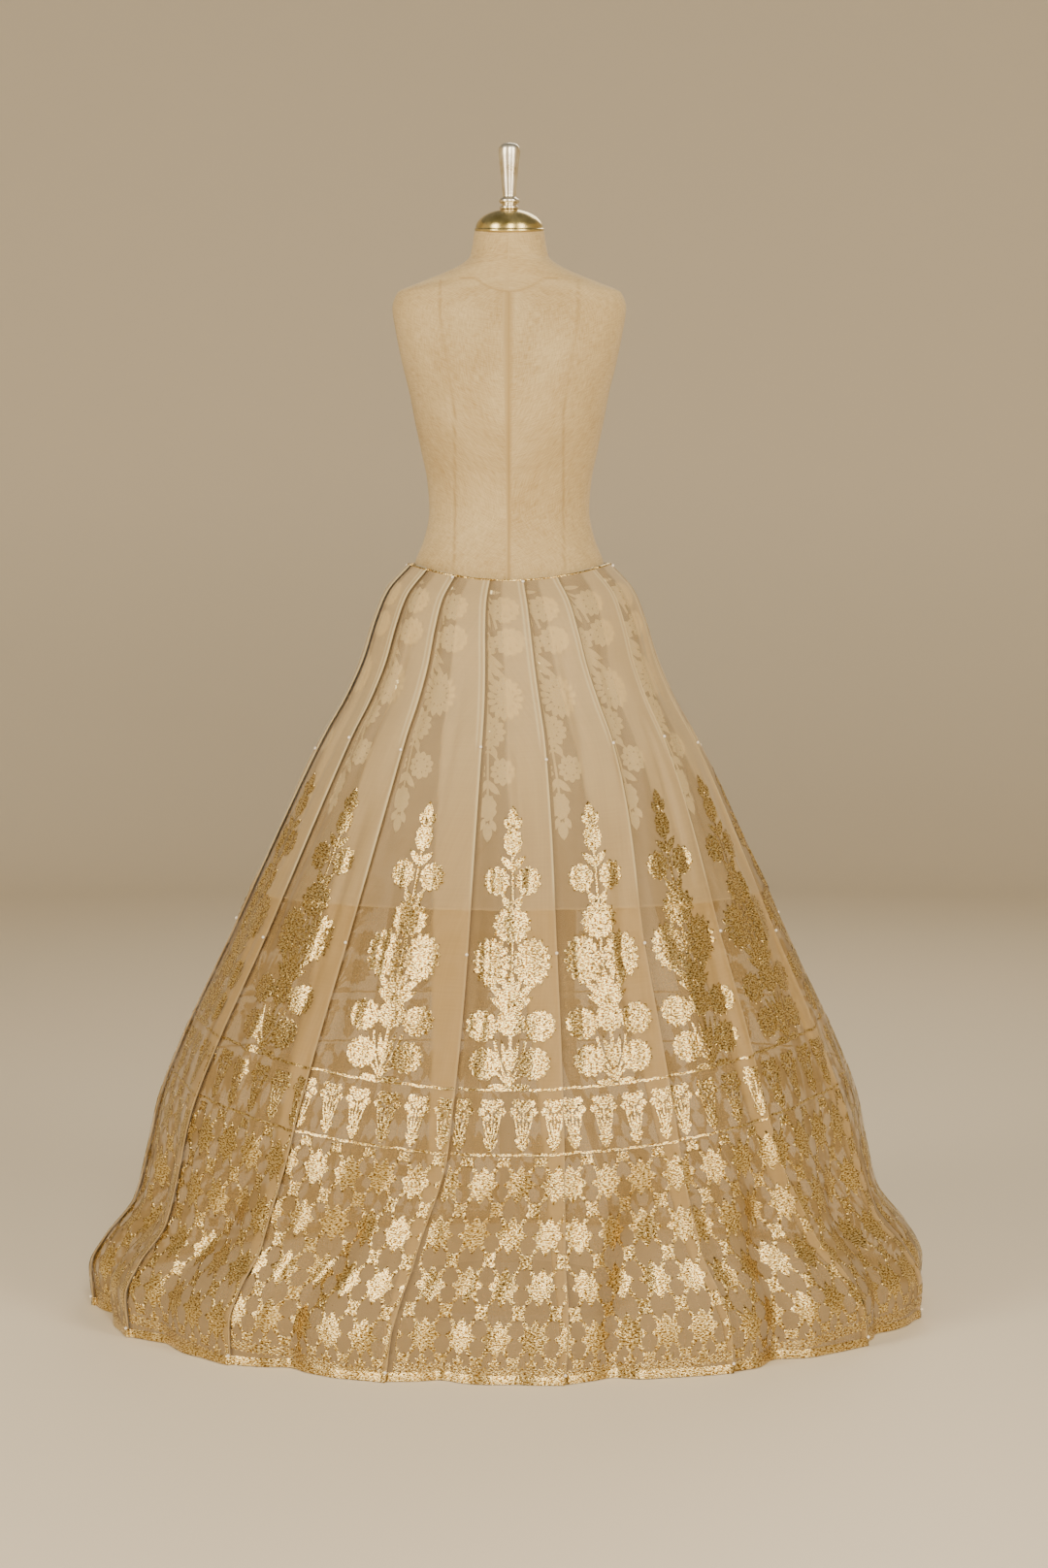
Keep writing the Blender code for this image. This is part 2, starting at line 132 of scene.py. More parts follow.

# Soft creases, listed one by one. pleat, height and share of its upper end, height and
# share of its lower end, half width in millimetres, depth; a ridge is negative.
CREASES = [
    (15, 0.98, 0.55, 0.62, 0.62, 9, 2.2), (15, 0.80, 0.30, 0.45, 0.24, 12, -2.0),
    (0, 1.06, 0.62, 0.76, 0.48, 8, 2.0), (0, 0.72, 0.80, 0.40, 0.70, 11, 2.4),
    (0, 0.60, 0.22, 0.34, 0.30, 14, -2.2), (1, 1.05, 0.34, 0.78, 0.20, 8, 1.8),
    (1, 0.92, 0.70, 0.66, 0.76, 7, 2.0), (1, 0.66, 0.86, 0.34, 0.82, 9, 2.2),
    (1, 0.58, 0.40, 0.36, 0.52, 16, -2.4), (2, 1.08, 0.72, 0.92, 0.58, 7, 1.8),
    (2, 0.90, 0.30, 0.62, 0.26, 9, 2.0), (2, 0.84, 0.62, 0.52, 0.70, 8, -1.8),
    (2, 0.56, 0.84, 0.30, 0.80, 8, 2.0), (3, 0.98, 0.30, 0.62, 0.24, 6, 1.8),
    (3, 0.94, 0.48, 0.48, 0.44, 6, -1.6), (3, 0.88, 0.66, 0.54, 0.62, 6, 1.8),
    (3, 0.80, 0.82, 0.44, 0.80, 6, 1.6), (3, 0.60, 0.28, 0.32, 0.30, 10, 2.0),
    (4, 1.02, 0.60, 0.70, 0.66, 9, 2.0), (4, 0.76, 0.34, 0.42, 0.28, 12, -2.2),
    (4, 0.58, 0.72, 0.34, 0.66, 10, 2.0), (5, 1.06, 0.40, 0.80, 0.34, 8, 1.8),
    (5, 0.86, 0.74, 0.50, 0.78, 9, 2.2), (5, 0.56, 0.36, 0.34, 0.44, 14, -2.2),
    (6, 1.00, 0.58, 0.74, 0.52, 8, 2.0), (6, 0.78, 0.28, 0.46, 0.32, 11, 2.2),
    (6, 0.64, 0.78, 0.36, 0.74, 9, -1.8), (7, 1.08, 0.66, 0.84, 0.60, 7, 1.8),
    (7, 0.90, 0.38, 0.58, 0.30, 10, -2.0), (7, 0.62, 0.70, 0.32, 0.66, 10, 2.4),
    (8, 1.02, 0.44, 0.68, 0.36, 9, 2.2), (8, 0.74, 0.76, 0.44, 0.82, 8, 2.0),
    (8, 0.56, 0.30, 0.36, 0.38, 15, -2.2), (9, 1.06, 0.68, 0.80, 0.74, 8, 1.8),
    (9, 0.84, 0.34, 0.52, 0.28, 12, 2.2), (10, 1.00, 0.52, 0.66, 0.58, 9, -1.8),
    (10, 0.70, 0.76, 0.38, 0.72, 9, 2.2), (10, 0.58, 0.26, 0.34, 0.34, 12, 2.0),
    (11, 1.04, 0.36, 0.76, 0.30, 8, 2.0), (11, 0.82, 0.68, 0.48, 0.72, 8, 2.0),
    (12, 0.98, 0.62, 0.60, 0.66, 7, 1.8), (12, 0.86, 0.36, 0.50, 0.34, 9, -1.8),
    (12, 0.62, 0.80, 0.36, 0.76, 8, 2.0), (13, 1.06, 0.46, 0.78, 0.38, 8, 2.0),
    (13, 0.80, 0.74, 0.46, 0.78, 9, 2.2), (13, 0.56, 0.32, 0.34, 0.42, 14, -2.4),
    (14, 1.02, 0.66, 0.72, 0.60, 8, 2.0), (14, 0.76, 0.32, 0.42, 0.28, 11, 2.0),
]

# Distances down the cloth from the waist edge, in metres
UPPER_LINE = 0.787
LOWER_LINE = 0.880
LATTICE_START = 0.0425    # lower gold line to the middle of the first row of stars
STAR_ROWS = 4
ROW_PITCH = 0.0715
COLUMN_PITCH = 0.052
CLOTH_PITCH = 0.267       # cloth in one pleat, which moves the pattern on each panel
PLANT_PITCH = 0.045
PLANT_STRETCH = 1.045     # the tall plants as woven, against the shape drawn here
LINE_WAVE = 0.0006        # how far the gold lines waver
STAR_REACH = (0.0240, 0.0212, 0.0282, 0.0212)   # petals across, slant, upright, slant
SIDE_RISE = 0.017         # the pattern's lines run this much higher at the sides
BUD_ROW = 0.031           # the row of buds lies this far up the cloth from the floor
CHEVRON_ROWS = (0.0122, 0.0168, 0.0214)
BORDER_REACH = 0.16       # columns of the border go this far from a panel's middle
HEM_FOOT = 0.0010         # the gold hem starts this far above the floor
HEM_LIFT = 0.0005         # how far it stands off the cloth at its top
HEM_FLARE = 0.0024        # and how much further at its foot
HEM_BELLY = 0.0004        # its bulge at half height
# Plain left margin of each width's first panel, as a share of the panel
SELVEDGES = {"front": 0.03, "right": 0.25, "back": 0.10, "left": 0.20}

# Torso levels: height, half width, half depth in front and at the back, and the
# exponent of the superellipse.
TORSO = np.array([
    (0.860, 0.150, 0.118, 0.120, 2.20), (0.880, 0.164, 0.130, 0.134, 2.20),
    (0.950, 0.174, 0.136, 0.142, 2.20), (1.020, 0.172, 0.132, 0.138, 2.20),
    (1.080, 0.1610, 0.1180, 0.1240, 2.10), (1.121, 0.1490, 0.1078, 0.1120, 2.00),
    (1.146, 0.1453, 0.1060, 0.1078, 2.00), (1.183, 0.1310, 0.0985, 0.0960, 2.00),
    (1.226, 0.1230, 0.0930, 0.0860, 2.05), (1.270, 0.1260, 0.1000, 0.0860, 2.10),
    (1.320, 0.1360, 0.1170, 0.0910, 2.15), (1.363, 0.1450, 0.1290, 0.0960, 2.20),
    (1.405, 0.1530, 0.1290, 0.0990, 2.25), (1.450, 0.1640, 0.1160, 0.0990, 2.30),
    (1.500, 0.1740, 0.0960, 0.0930, 2.40), (1.535, 0.1790, 0.0800, 0.0850, 2.40),
    (1.557, 0.1720, 0.0690, 0.0760, 2.30), (1.573, 0.1380, 0.0610, 0.0670, 2.20),
    (1.587, 0.1030, 0.0565, 0.0610, 2.10), (1.601, 0.0740, 0.0545, 0.0580, 2.05),
    (1.614, 0.0600, 0.0530, 0.0550, 2.00), (1.652, 0.0530, 0.0500, 0.0500, 2.00),
])
NECK_TOP = 1.652
NECK_TILT = 0.14
NECK_TILT_START = 1.60

TORSO_FINE = 1.53         # the form's rows lie closer above this height
SEAM_HALF = 0.0016        # half width of a seam's groove
NECK_SEAM = 1.5755        # height of the neck's seam at the sides
NECK_SEAM_DIP = 0.0215    # how much lower it runs at the front
NECK_SEAM_RISE = 0.010    # and how much higher at the back
NECK_SEAM_REACH = 0.0525  # half width of that bow
# Heights, and how far the two long seams lie from the middle there
LONG_SEAMS = ((0.86, 1.12, 1.36, 1.55, 1.66), (0.088, 0.084, 0.082, 0.105, 0.105))

CAP_SEAT = NECK_TOP + 0.0003
CAP_RADIUS = 0.052
CAP_RIM = 0.004
CAP_HEIGHT = 0.032

# Outline of the cap's rolled rim: height above its seat, and radius past CAP_RADIUS
RIM_OUTLINE = np.array([
    (0.0, -CAP_RADIUS), (0.0, -0.0004), (0.0004, 0.0006), (0.0014, 0.0012),
    (0.0028, 0.0011), (0.0036, 0.0003), (0.0039, -0.0005),
])

# Outline of the handle: height above its seat and radius
HANDLE = np.array([
    (0.0000, 0.0140), (0.0020, 0.0147), (0.0040, 0.0145), (0.0056, 0.0120),
    (0.0066, 0.0109), (0.0080, 0.0115), (0.0098, 0.0145), (0.0120, 0.0160),
    (0.0140, 0.0158), (0.0165, 0.0135), (0.0180, 0.0108), (0.0195, 0.0100),
    (0.0260, 0.0105), (0.0420, 0.0122), (0.0600, 0.0140), (0.0760, 0.0157),
    (0.0860, 0.0165), (0.0905, 0.0164), (0.0940, 0.0155), (0.0968, 0.0137),
    (0.0985, 0.0115), (0.0998, 0.0082), (0.1005, 0.0045),
])

# Camera: where it stands, how far it looks down, and its lens
CAMERA_PLACE = (0.0225, -4.71, 1.1458)
CAMERA_DOWN = 4.15
CAMERA_LENS = 70.0
SENSOR = 36.0

# Softboxes: name, degrees round from the camera's side towards +X, degrees up, metres
# away, width and height, and power in watts. All look at the skirt.
SOFTBOXES = (("key_left", -50.0, 25.0, 5.0, (1.4, 3.4), 165.0),
             ("key_middle", 6.0, 26.0, 5.0, (0.9, 3.4), 160.0),
             ("key_right", 44.0, 25.0, 5.0, (1.3, 3.6), 145.0),
             ("rim", 165.0, 38.0, 5.0, (2.4, 2.0), 60.0))
AIM_HEIGHT = 0.75
LIGHT_COLOUR = (1.0, 0.90, 0.75)
WORLD_COLOUR = (1.0, 0.93, 0.81, 1.0)
WORLD_STRENGTH = 0.22

# Studio cove: radius of the flat floor, radius of the bend up from it, and height
COVE_FLOOR = 6.0
COVE_BEND = 1.6
COVE_HEIGHT = 6.0


def hex_colour(text):
    """An sRGB hex colour as linear red, green and blue."""
    value = np.array([int(text[place:place + 2], 16) for place in (1, 3, 5)]) / 255.0
    linear = np.where(value <= 0.04045, value / 12.92, ((value + 0.055) / 1.055) ** 2.4)
    return tuple(float(part) for part in linear)


def smoothstep(value):
    """0 below 0, 1 above 1, and 3v^2 - 2v^3 between."""
    value = np.clip(value, 0.0, 1.0)
    return value * value * (3.0 - 2.0 * value)


def round_turn(count):
    """Even angles of a whole turn, without the last one."""
    return np.linspace(0.0, 2.0 * pi, count + 1)[:-1]


def smooth_curve(at, places, values):
    """A cubic through (places, values) that never overshoots: each slope is the
    harmonic mean of the slopes beside it, or 0 at a peak."""
    places, values = np.asarray(places, float), np.asarray(values, float)
    step = np.diff(places)
    rise = np.diff(values) / step
    product = rise[1:] * rise[:-1]
    total = np.where(product > 0.0, rise[1:] + rise[:-1], 1.0)
    inside = np.where(product > 0.0, 2.0 * product / total, 0.0)
    slope = np.concatenate([[rise[0]], inside, [rise[-1]]])
    index = np.clip(np.searchsorted(places, at) - 1, 0, len(step) - 1)
    u = np.clip((at - places[index]) / step[index], 0.0, 1.0)
    rest = 1.0 - u
    return (values[index] * (1.0 + 2.0 * u) * rest * rest
            + slope[index] * step[index] * u * rest * rest
            + values[index + 1] * u * u * (3.0 - 2.0 * u)
            - slope[index + 1] * step[index] * u * u * rest)


TABLE_STEP = 0.002
TABLE_HEIGHTS = np.arange(0.0, WAIST_SIDE + 2.0 * TABLE_STEP, TABLE_STEP)
RING_TABLE = np.array([smooth_curve(TABLE_HEIGHTS, RINGS[:, 0], RINGS[:, field])
                       for field in range(1, 5)])
FOLD_TABLE = np.radians([smooth_curve(TABLE_HEIGHTS, FOLD_HEIGHTS, fold) for fold in FOLDS])


def from_table(table, row, height, step=TABLE_STEP):
    """A table's row read at any height, straight between its samples."""
    place = np.clip(height / step, 0.0, table.shape[1] - 1.001)
    index = place.astype(int)
    part = place - index
    return table[row, index] * (1.0 - part) + table[row, index + 1] * part


def fold_angle(fold, height):
    """Angle of a fold's edge from the front, for any fold number."""
    turns, row = np.divmod(fold, len(FOLDS))
    return from_table(FOLD_TABLE, row, height) + turns * pi


def ellipse(height, angle):
    """Point of the skirt's ring and its outward unit normal, both level."""
    wide, deep = from_table(RING_TABLE, 0, height), from_table(RING_TABLE, 1, height)
    point = np.stack([wide * np.sin(angle), -deep * np.cos(angle)], axis=-1)
    normal = np.stack([np.sin(angle) / wide, -np.cos(angle) / deep], axis=-1)
    return point, normal / np.linalg.norm(normal, axis=-1, keepdims=True)


def panel_angle(pleat, share, height):
    """Angle of a share of the way from a panel's left fold to its right one."""
    start = fold_angle(pleat, height)
    return start + share * (fold_angle(pleat + 1, height) - start)


def panel_width(pleat, height):
    """Straight width of a panel between its two folds."""
    left, _ = ellipse(height, fold_angle(pleat, height))
    right, _ = ellipse(height, fold_angle(pleat + 1, height))
    return np.linalg.norm(right - left, axis=-1)


def fold_share(pleat, height):
    """Share of a panel's width that goes back under its right fold."""
    return np.minimum(from_table(RING_TABLE, 3, height) / panel_width(pleat, height), FOLD_LIMIT)


def waist_drop(height, angle):
    """How far the waist edge dips at the front: cosine squared, fading downwards."""
    reach = np.clip((height - WAIST_DIP_END) / (WAIST_SIDE - WAIST_DIP_END), 0.0, None)
    return (WAIST_SIDE - WAIST_FRONT) * np.clip(np.cos(angle), 0.0, None) ** 2 * reach


def trough(pleat, share, height, width):
    """The diagonal crease near the floor: a valley of bell-shaped section that
    crosses the panel from upper right to lower left."""
    row = TROUGHS[np.mod(pleat, PLEATS)]
    depth, top_place, floor_place = row[..., 0], row[..., 1], row[..., 2]
    fall = np.clip((TROUGH_TOP - height) / TROUGH_TOP, 0.0, 1.0)
    place = top_place + smoothstep(fall * 1.1) * (floor_place - top_place)
    across = (share - place) * width / TROUGH_WIDTH
    return TROUGH_SINK * depth * smoothstep(fall * 2.2) * np.exp(-np.abs(across) ** 1.8)


def creases(pleat, share, height, width):
    """Sum of the listed creases: bell-shaped across, sine-shaped along."""
    pleat = np.mod(pleat, PLEATS)
    total = np.zeros(np.broadcast(pleat, share, height, width).shape)
    for number, high, high_share, low, low_share, half, depth in CREASES:
        along = (high - height) / (high - low)
        place = high_share + (low_share - high_share) * along
        across = (share - place) * width / (half * 0.001)
        shape = np.sin(pi * np.clip(along, 0.0, 1.0)) ** 0.8 * np.exp(-across ** 2)
        total = total + np.where(pleat == number, CREASE_UNIT * depth * shape, 0.0)
    return total


def ripple(pleat, share, height, width):
    """Slight unevenness of handled cloth: four long waves, different on each panel."""
    phase = np.mod(pleat, PLEATS) * 2.4
    across = (share - 0.5) * width
    waves = (np.sin(across * 46.0 + height * 9.0 + phase)
             + 0.8 * np.sin(across * 71.0 - height * 21.0 + 1.7 * phase)
             + 0.45 * np.sin(across * 118.0 + height * 13.0 + 3.7 * phase)
             + 0.6 * np.sin(height * 34.0 + across * 18.0 + 2.9 * phase))
    return RIPPLE_HEIGHT * waves * smoothstep((WAIST_FRONT - 0.001 - height) / 0.25)


def skirt_point(pleat, share, height, lift):
    """Point of the cloth: the panel between two folds, part ellipse and part chord,
    sunk where it starts below the fold before it, creased, and lifted outwards."""
    pleat, share, height, lift = np.broadcast_arrays(pleat, share, height, lift)
    start, end = fold_angle(pleat, height), fold_angle(pleat + 1, height)
    angle = start + share * (end - start)
    round_point, normal = ellipse(height, angle)
    left, _ = ellipse(height, start)
    right, _ = ellipse(height, end)
    part = share[..., None]
    flat = from_table(RING_TABLE, 2, height)[..., None]
    point = round_point * (1.0 - flat) + (left * (1.0 - part) + right * part) * flat
    width = np.linalg.norm(right - left, axis=-1)
    sunk = 2.0 * LAYER_PITCH * (1.0 - smoothstep(share / PANEL_RISE))
    sunk = sunk + (FOLD_VALLEY * np.exp(-((share - VALLEY_PLACE) / VALLEY_SPREAD) ** 2)
                   * smoothstep(share / 0.04))
    window = smoothstep(share / 0.14) * smoothstep((1.0 - share) / 0.08)
    wear_and_gleam = (trough(pleat, share, height, width) + creases(pleat, share, height, width)
            + ripple(pleat, share, height, width))
    above = height - TURNED_END
    turned_edge = TURNED_STEP * smoothstep(above / 0.004 + 0.5) * np.exp(-np.abs(above) / 0.022)
    point = point + normal * (lift - sunk - (wear_and_gleam - turned_edge) * window)[..., None]
    z = height - waist_drop(height, angle)
    return np.concatenate([point, z[..., None]], axis=-1)


def sideways(pleat, share, height):
    """Level unit vectors at a point: outwards, and along the cloth to the right."""
    _, normal = ellipse(height, panel_angle(pleat, share, height))
    zero = np.zeros(normal.shape[:-1] + (1,))
    outwards = np.concatenate([normal, zero], axis=-1)
    return outwards, np.stack([-normal[..., 1], normal[..., 0], zero[..., 0]], axis=-1)


def half_turn(pleat, share, height, middle, radius, turns, side):
    """The round of a fold: a half circle between two layers of cloth."""
    outwards, along = sideways(pleat, share, height)
    centre = skirt_point(pleat, share, height, middle)
    return centre + radius * (np.cos(pi * turns)[..., None] * outwards
                              + side * np.sin(pi * turns)[..., None] * along)


def pleat_strip(pleat, heights, ply, counts, last):
    """One pleat as (rows, columns, 3): the layer under the last fold, the panel, the
    round of its own fold, the layer that goes back, and the hidden turn. With it come
    two values for each point: how much painted highlight it gets on a fold's edge, and
    its painted shade, from 0 at the foot of the last fold, where a shadow is painted, to
    1 where three layers lie; one layer is painted darker for the shaded inside seen
    through it. counts has the number of columns of each part."""
    z = heights[:, None]

    def steps(count, closed=False):
        return np.linspace(0.0, 1.0, count + int(closed), endpoint=closed)[None, :]

    def same(value, across):
        return np.broadcast_to(value, (len(heights), across.size))

    before, fold = fold_share(pleat - 1, z), fold_share(pleat, z)
    even = steps(counts[1])
    closer = even - CLOSER_AT_FOLDS * np.sin(2.0 * pi * even) / (2.0 * pi)
    u = [steps(counts[0]), closer, steps(counts[2]), steps(counts[3], last),
         steps(counts[4])]
    parts = [
        skirt_point(pleat - 1, 1.0 - before * (1.0 - u[0]), z, -2.0 * LAYER_PITCH - ply),
        skirt_point(pleat, u[1], z, -ply),
        half_turn(pleat, 1.0, z, -LAYER_PITCH / 2.0, LAYER_PITCH / 2.0 - ply, u[2], 1.0),
        skirt_point(pleat, 1.0 - fold * u[3], z, ply - LAYER_PITCH),
    ]
    width = panel_width(pleat, z)
    # Painted highlight on fold edges and tuck lines: full above the turned-down ply, a quarter as
    # strong below it
    wear_and_gleam = 0.25 + 0.75 * smoothstep((z - TURNED_END) / 0.05)
    away = (1.0 - u[1]) * width
    tuck = smoothstep((z - TUCK_END) / 0.04) * np.exp(-((away - TUCK_WIDTH) / 0.0014) ** 2)
    near = np.maximum(wear_and_gleam * smoothstep(1.0 - away / EDGE_WIDTH), 0.7 * tuck)
    on_edge = [same(0.0, u[0]), near, same(wear_and_gleam, u[2]), same(0.0, u[3])]
    # Painted shade: a painted shadow at the foot of the last fold, one layer painted darker for
    # the shaded inside seen through it, three layers lighter
    foot = smoothstep(u[1] * width / FOOT_SHADE)
    triple = smoothstep((u[1] - 1.0 + fold) * width / LAYER_BLUR + 0.5)
    single = SINGLE_TONE + LOWER_TONE * smoothstep((TURNED_END - z) / 0.10)
    full = [same(0.0, u[0]), single * foot + (1.0 - single) * triple, same(1.0, u[2]),
            same(1.0, u[3])]
    if not last:
        parts.append(half_turn(pleat, 1.0 - fold, z, -1.5 * LAYER_PITCH,
                               LAYER_PITCH / 2.0 + ply, u[4], -1.0))
        on_edge.append(same(0.0, u[4]))
        full.append(same(0.0, u[4]))
    return tuple(np.concatenate(each, axis=1) for each in (parts, on_edge, full))


def grid_corners(rows, columns, closed=False):
    """Quads of a grid of rows down and columns round anticlockwise from above."""
    row = np.arange(rows - 1)[:, None]
    column = np.arange(columns if closed else columns - 1)[None, :]
    right = (column + 1) % columns
    quads = [row * columns + column, (row + 1) * columns + column,
             (row + 1) * columns + right, row * columns + right]
    return np.stack([np.broadcast_to(quad, (rows - 1, column.size)) for quad in quads],
                    axis=-1).reshape(-1, 4)


def copied_corners(corners, count, copies):
    """The corners of one mesh of count points, for several copies one after another."""
    sides = corners.shape[1]
    return (corners[None] + count * np.arange(copies)[:, None, None]).reshape(-1, sides)


def run_lengths(points, axis):
    """Distance along a grid's rows or columns, added up from the first."""
    steps = np.linalg.norm(np.diff(points, axis=axis), axis=-1)
    total = np.cumsum(steps, axis=axis)
    shape = list(total.shape)
    shape[axis] = 1
    return np.concatenate([np.zeros(shape), total], axis=axis)


def grid_uv(points):
    """UV in metres of cloth: across from the middle column, and down."""
    across = run_lengths(points, 1)
    across = across - across[:, points.shape[1] // 2][:, None]
    return np.stack([across, run_lengths(points, 0)], axis=-1)


def make_mesh(name, points, corners, uv=None, **marks):
    """One smooth-shaded object at the origin from arrays. uv has a row for each
    point, and each mark is kept as an attribute with one value for each point."""
    points = np.ascontiguousarray(points.reshape(-1, 3), np.float32)
    count, sides = corners.shape
    mesh = bpy.data.meshes.new(name)
    mesh.vertices.add(len(points))
    mesh.vertices.foreach_set("co", points.ravel())
    mesh.loops.add(count * sides)
    mesh.loops.foreach_set("vertex_index", corners.astype(np.int32).ravel())
    mesh.polygons.add(count)
    mesh.polygons.foreach_set("loop_start", np.arange(0, count * sides, sides, dtype=np.int32))
    mesh.update(calc_edges=True)
    if uv is not None:
        layer = mesh.uv_layers.new(name="UVMap")
        flat = uv.reshape(-1, 2)[corners.ravel()].astype(np.float32)
        layer.data.foreach_set("uv", flat.ravel())
    for mark, values in marks.items():
        made = mesh.attributes.new(mark, "FLOAT", "POINT")
        made.data.foreach_set("value", values.astype(np.float32).ravel())
    mesh.validate()
    mesh.shade_smooth()
    piece = bpy.data.objects.new(name, mesh)
    bpy.context.scene.collection.objects.link(piece)
    return piece


def grid_mesh(name, points, closed=True, **marks):
    """One object from rows and columns of points, with UV in metres of its surface."""
    return make_mesh(name, points, grid_corners(*points.shape[:2], closed), grid_uv(points),
                     **marks)


def finish_piece(piece, finish, replaced=()):
    """Give a piece its material and its body, and hide the nodes it stands for."""
    piece.data.materials.clear()
    piece.data.materials.append(finish)
    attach(piece, "root")
    if replaced:
        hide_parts(*replaced)


# Shapes of the woven motifs. A shape is (points, triangles); a point is across, up and
# extra lift in metres, and triangles run anticlockwise as seen from outside.


def join_shapes(*shapes):
    """Several shapes as one."""
    points, triangles, total = [], [], 0
    for shape_points, shape_triangles in shapes:
        points.append(shape_points)
        triangles.append(shape_triangles + total)
        total += len(shape_points)
    return np.concatenate(points), np.concatenate(triangles)


def shape_grid(x, y, lift):
    """A shape from grids of points whose rows run up and columns run right."""
    rows, columns = x.shape
    row = np.arange(rows - 1)[:, None] * columns
    column = np.arange(columns - 1)[None, :]
    low, high = row + column, row + column + columns
    triangles = np.concatenate([np.stack([low, low + 1, high + 1], axis=-1).reshape(-1, 3),
                                np.stack([low, high + 1, high], axis=-1).reshape(-1, 3)])
    return np.stack([x, y, np.broadcast_to(lift, x.shape)], axis=-1).reshape(-1, 3), triangles


def blade(start, end, width, bend=0.0, belly=1.0, steps=5, level=0.0, even=False):
    """A petal or leaf: its half width is a sine of the way along, fattest near the
    start where belly is under 1; the midline bows sideways by bend. An even one keeps
    its width, as a stem does. It is domed a quarter of a millimetre."""
    start, end = np.array(start, float), np.array(end, float)
    way = np.linspace(0.0, 1.0, steps + 1)[:, None]
    across = np.linspace(-1.0, 1.0, 3)[None, :]
    along = end - start
    side = np.array([along[1], -along[0]]) / max(np.hypot(*along), 1e-6)
    half = 0.5 * width * (np.ones_like(way) if even else np.sin(pi * way ** belly))
    offset = half * across + bend * np.sin(pi * way)
    return shape_grid(start[0] + along[0] * way + side[0] * offset,
                      start[1] + along[1] * way + side[1] * offset,
                      0.00025 * (1.0 - across ** 2) + level)


def rosette(centre, radius, lobes, cut, tall=1.0, segments=24, rings=2, level=0.0):
    """A lobed disc: its edge lies at radius * (1 - cut * (1 - |cos(lobes * turn / 2)|))."""
    turn = np.linspace(0.0, 2.0 * pi, segments + 1)[None, :]
    way = np.linspace(1.0, 0.0, rings + 1)[:, None]
    edge = radius * (1.0 - cut * (1.0 - np.abs(np.cos(lobes * turn / 2.0))))
    return shape_grid(centre[0] + way * edge * np.cos(turn),
                      centre[1] + way * edge * np.sin(turn) * tall,
                      0.0003 * (1.0 - way ** 2) + level)


def flower(centre, radius, petals, tall=1.0, level=0.0):
    """A woven flower head: a ring of separate petals round a lobed heart."""
    centre = np.array(centre, float)
    turn = 2.0 * pi * (np.arange(petals) + 0.5) / petals
    reach = np.stack([np.cos(turn), np.sin(turn) * tall], axis=-1)
    width = 2.0 * pi * radius * 0.74 / petals
    parts = [blade(centre + reach[number] * radius * 0.36, centre + reach[number] * radius,
                   width * 1.12, belly=1.15, steps=5, level=level) for number in range(petals)]
    parts.append(rosette(centre, radius * 0.50, max(petals // 2, 5), 0.22, tall,
                         level=level + 0.00030))
    return join_shapes(*parts)


def both_sides(make, *values, **rest):
    """A shape and its mirror image: the side of each place and of a bend changes."""
    pair = []
    for side in (1.0, -1.0):
        moved = [(value[0] * side, value[1]) if isinstance(value, tuple) else value
                 for value in values]
        bent = {name: value * side if name == "bend" else value for name, value in rest.items()}
        pair.append(make(*moved, **bent))
    return join_shapes(*pair)


def flowering_plant():
    """The tall motif above the upper line: a bud on a stem, paired heads, a crowned
    rosette, two large heads, leaves, and a cluster on a fan of stems. It stands at 0
    and is 0.40 m tall."""
    return join_shapes(
        blade((0.0, 0.372), (0.0, 0.403), 0.015),
        rosette((0.0, 0.350), 0.0145, 9, 0.2, tall=1.5),
        blade((0.0, 0.252), (0.0, 0.334), 0.0034, even=True, steps=8),
        flower((0.0, 0.231), 0.0290, 13),
        blade((0.0, 0.110), (0.0, 0.206), 0.0044, even=True, steps=10),
        blade((0.0, 0.004), (0.0, 0.112), 0.0052, even=True, steps=10),
        flower((0.0, 0.094), 0.0225, 11, level=0.0002),
        blade((0.0, 0.116), (0.0, 0.170), 0.011),
        flower((0.0, 0.044), 0.0130, 8, level=0.0002),
        both_sides(blade, (0.004, 0.366), (0.012, 0.386), 0.010),
        both_sides(blade, (0.0, 0.306), (0.019, 0.330), 0.011, bend=-0.002),
        both_sides(flower, (0.0225, 0.294), 0.0200, 10, tall=1.12),
        both_sides(blade, (0.0, 0.262), (0.018, 0.282), 0.0040, even=True, bend=0.003),
        both_sides(blade, (0.006, 0.252), (0.013, 0.274), 0.0095),
        flower((0.0285, 0.178), 0.0300, 15, tall=1.25, level=0.0002),
        flower((-0.0285, 0.178), 0.0300, 15, tall=1.25),
        both_sides(blade, (0.0, 0.112), (0.036, 0.150), 0.0120, bend=-0.003),
        both_sides(blade, (0.0, 0.118), (0.017, 0.162), 0.0105, bend=-0.002),
        both_sides(blade, (0.0, 0.100), (0.032, 0.130), 0.0130, bend=-0.004),
        both_sides(flower, (0.0410, 0.088), 0.0255, 12, tall=0.95),
        both_sides(flower, (0.0350, 0.036), 0.0250, 12, tall=0.98, level=0.0002),
        both_sides(blade, (0.0, 0.008), (0.022, 0.068), 0.0042, even=True, bend=0.003),
        both_sides(blade, (0.0, 0.006), (0.020, 0.026), 0.0042, even=True),
        both_sides(blade, (0.0, 0.018), (0.013, 0.070), 0.0085),
        both_sides(blade, (0.0, 0.004), (0.032, 0.005), 0.0080),
    )


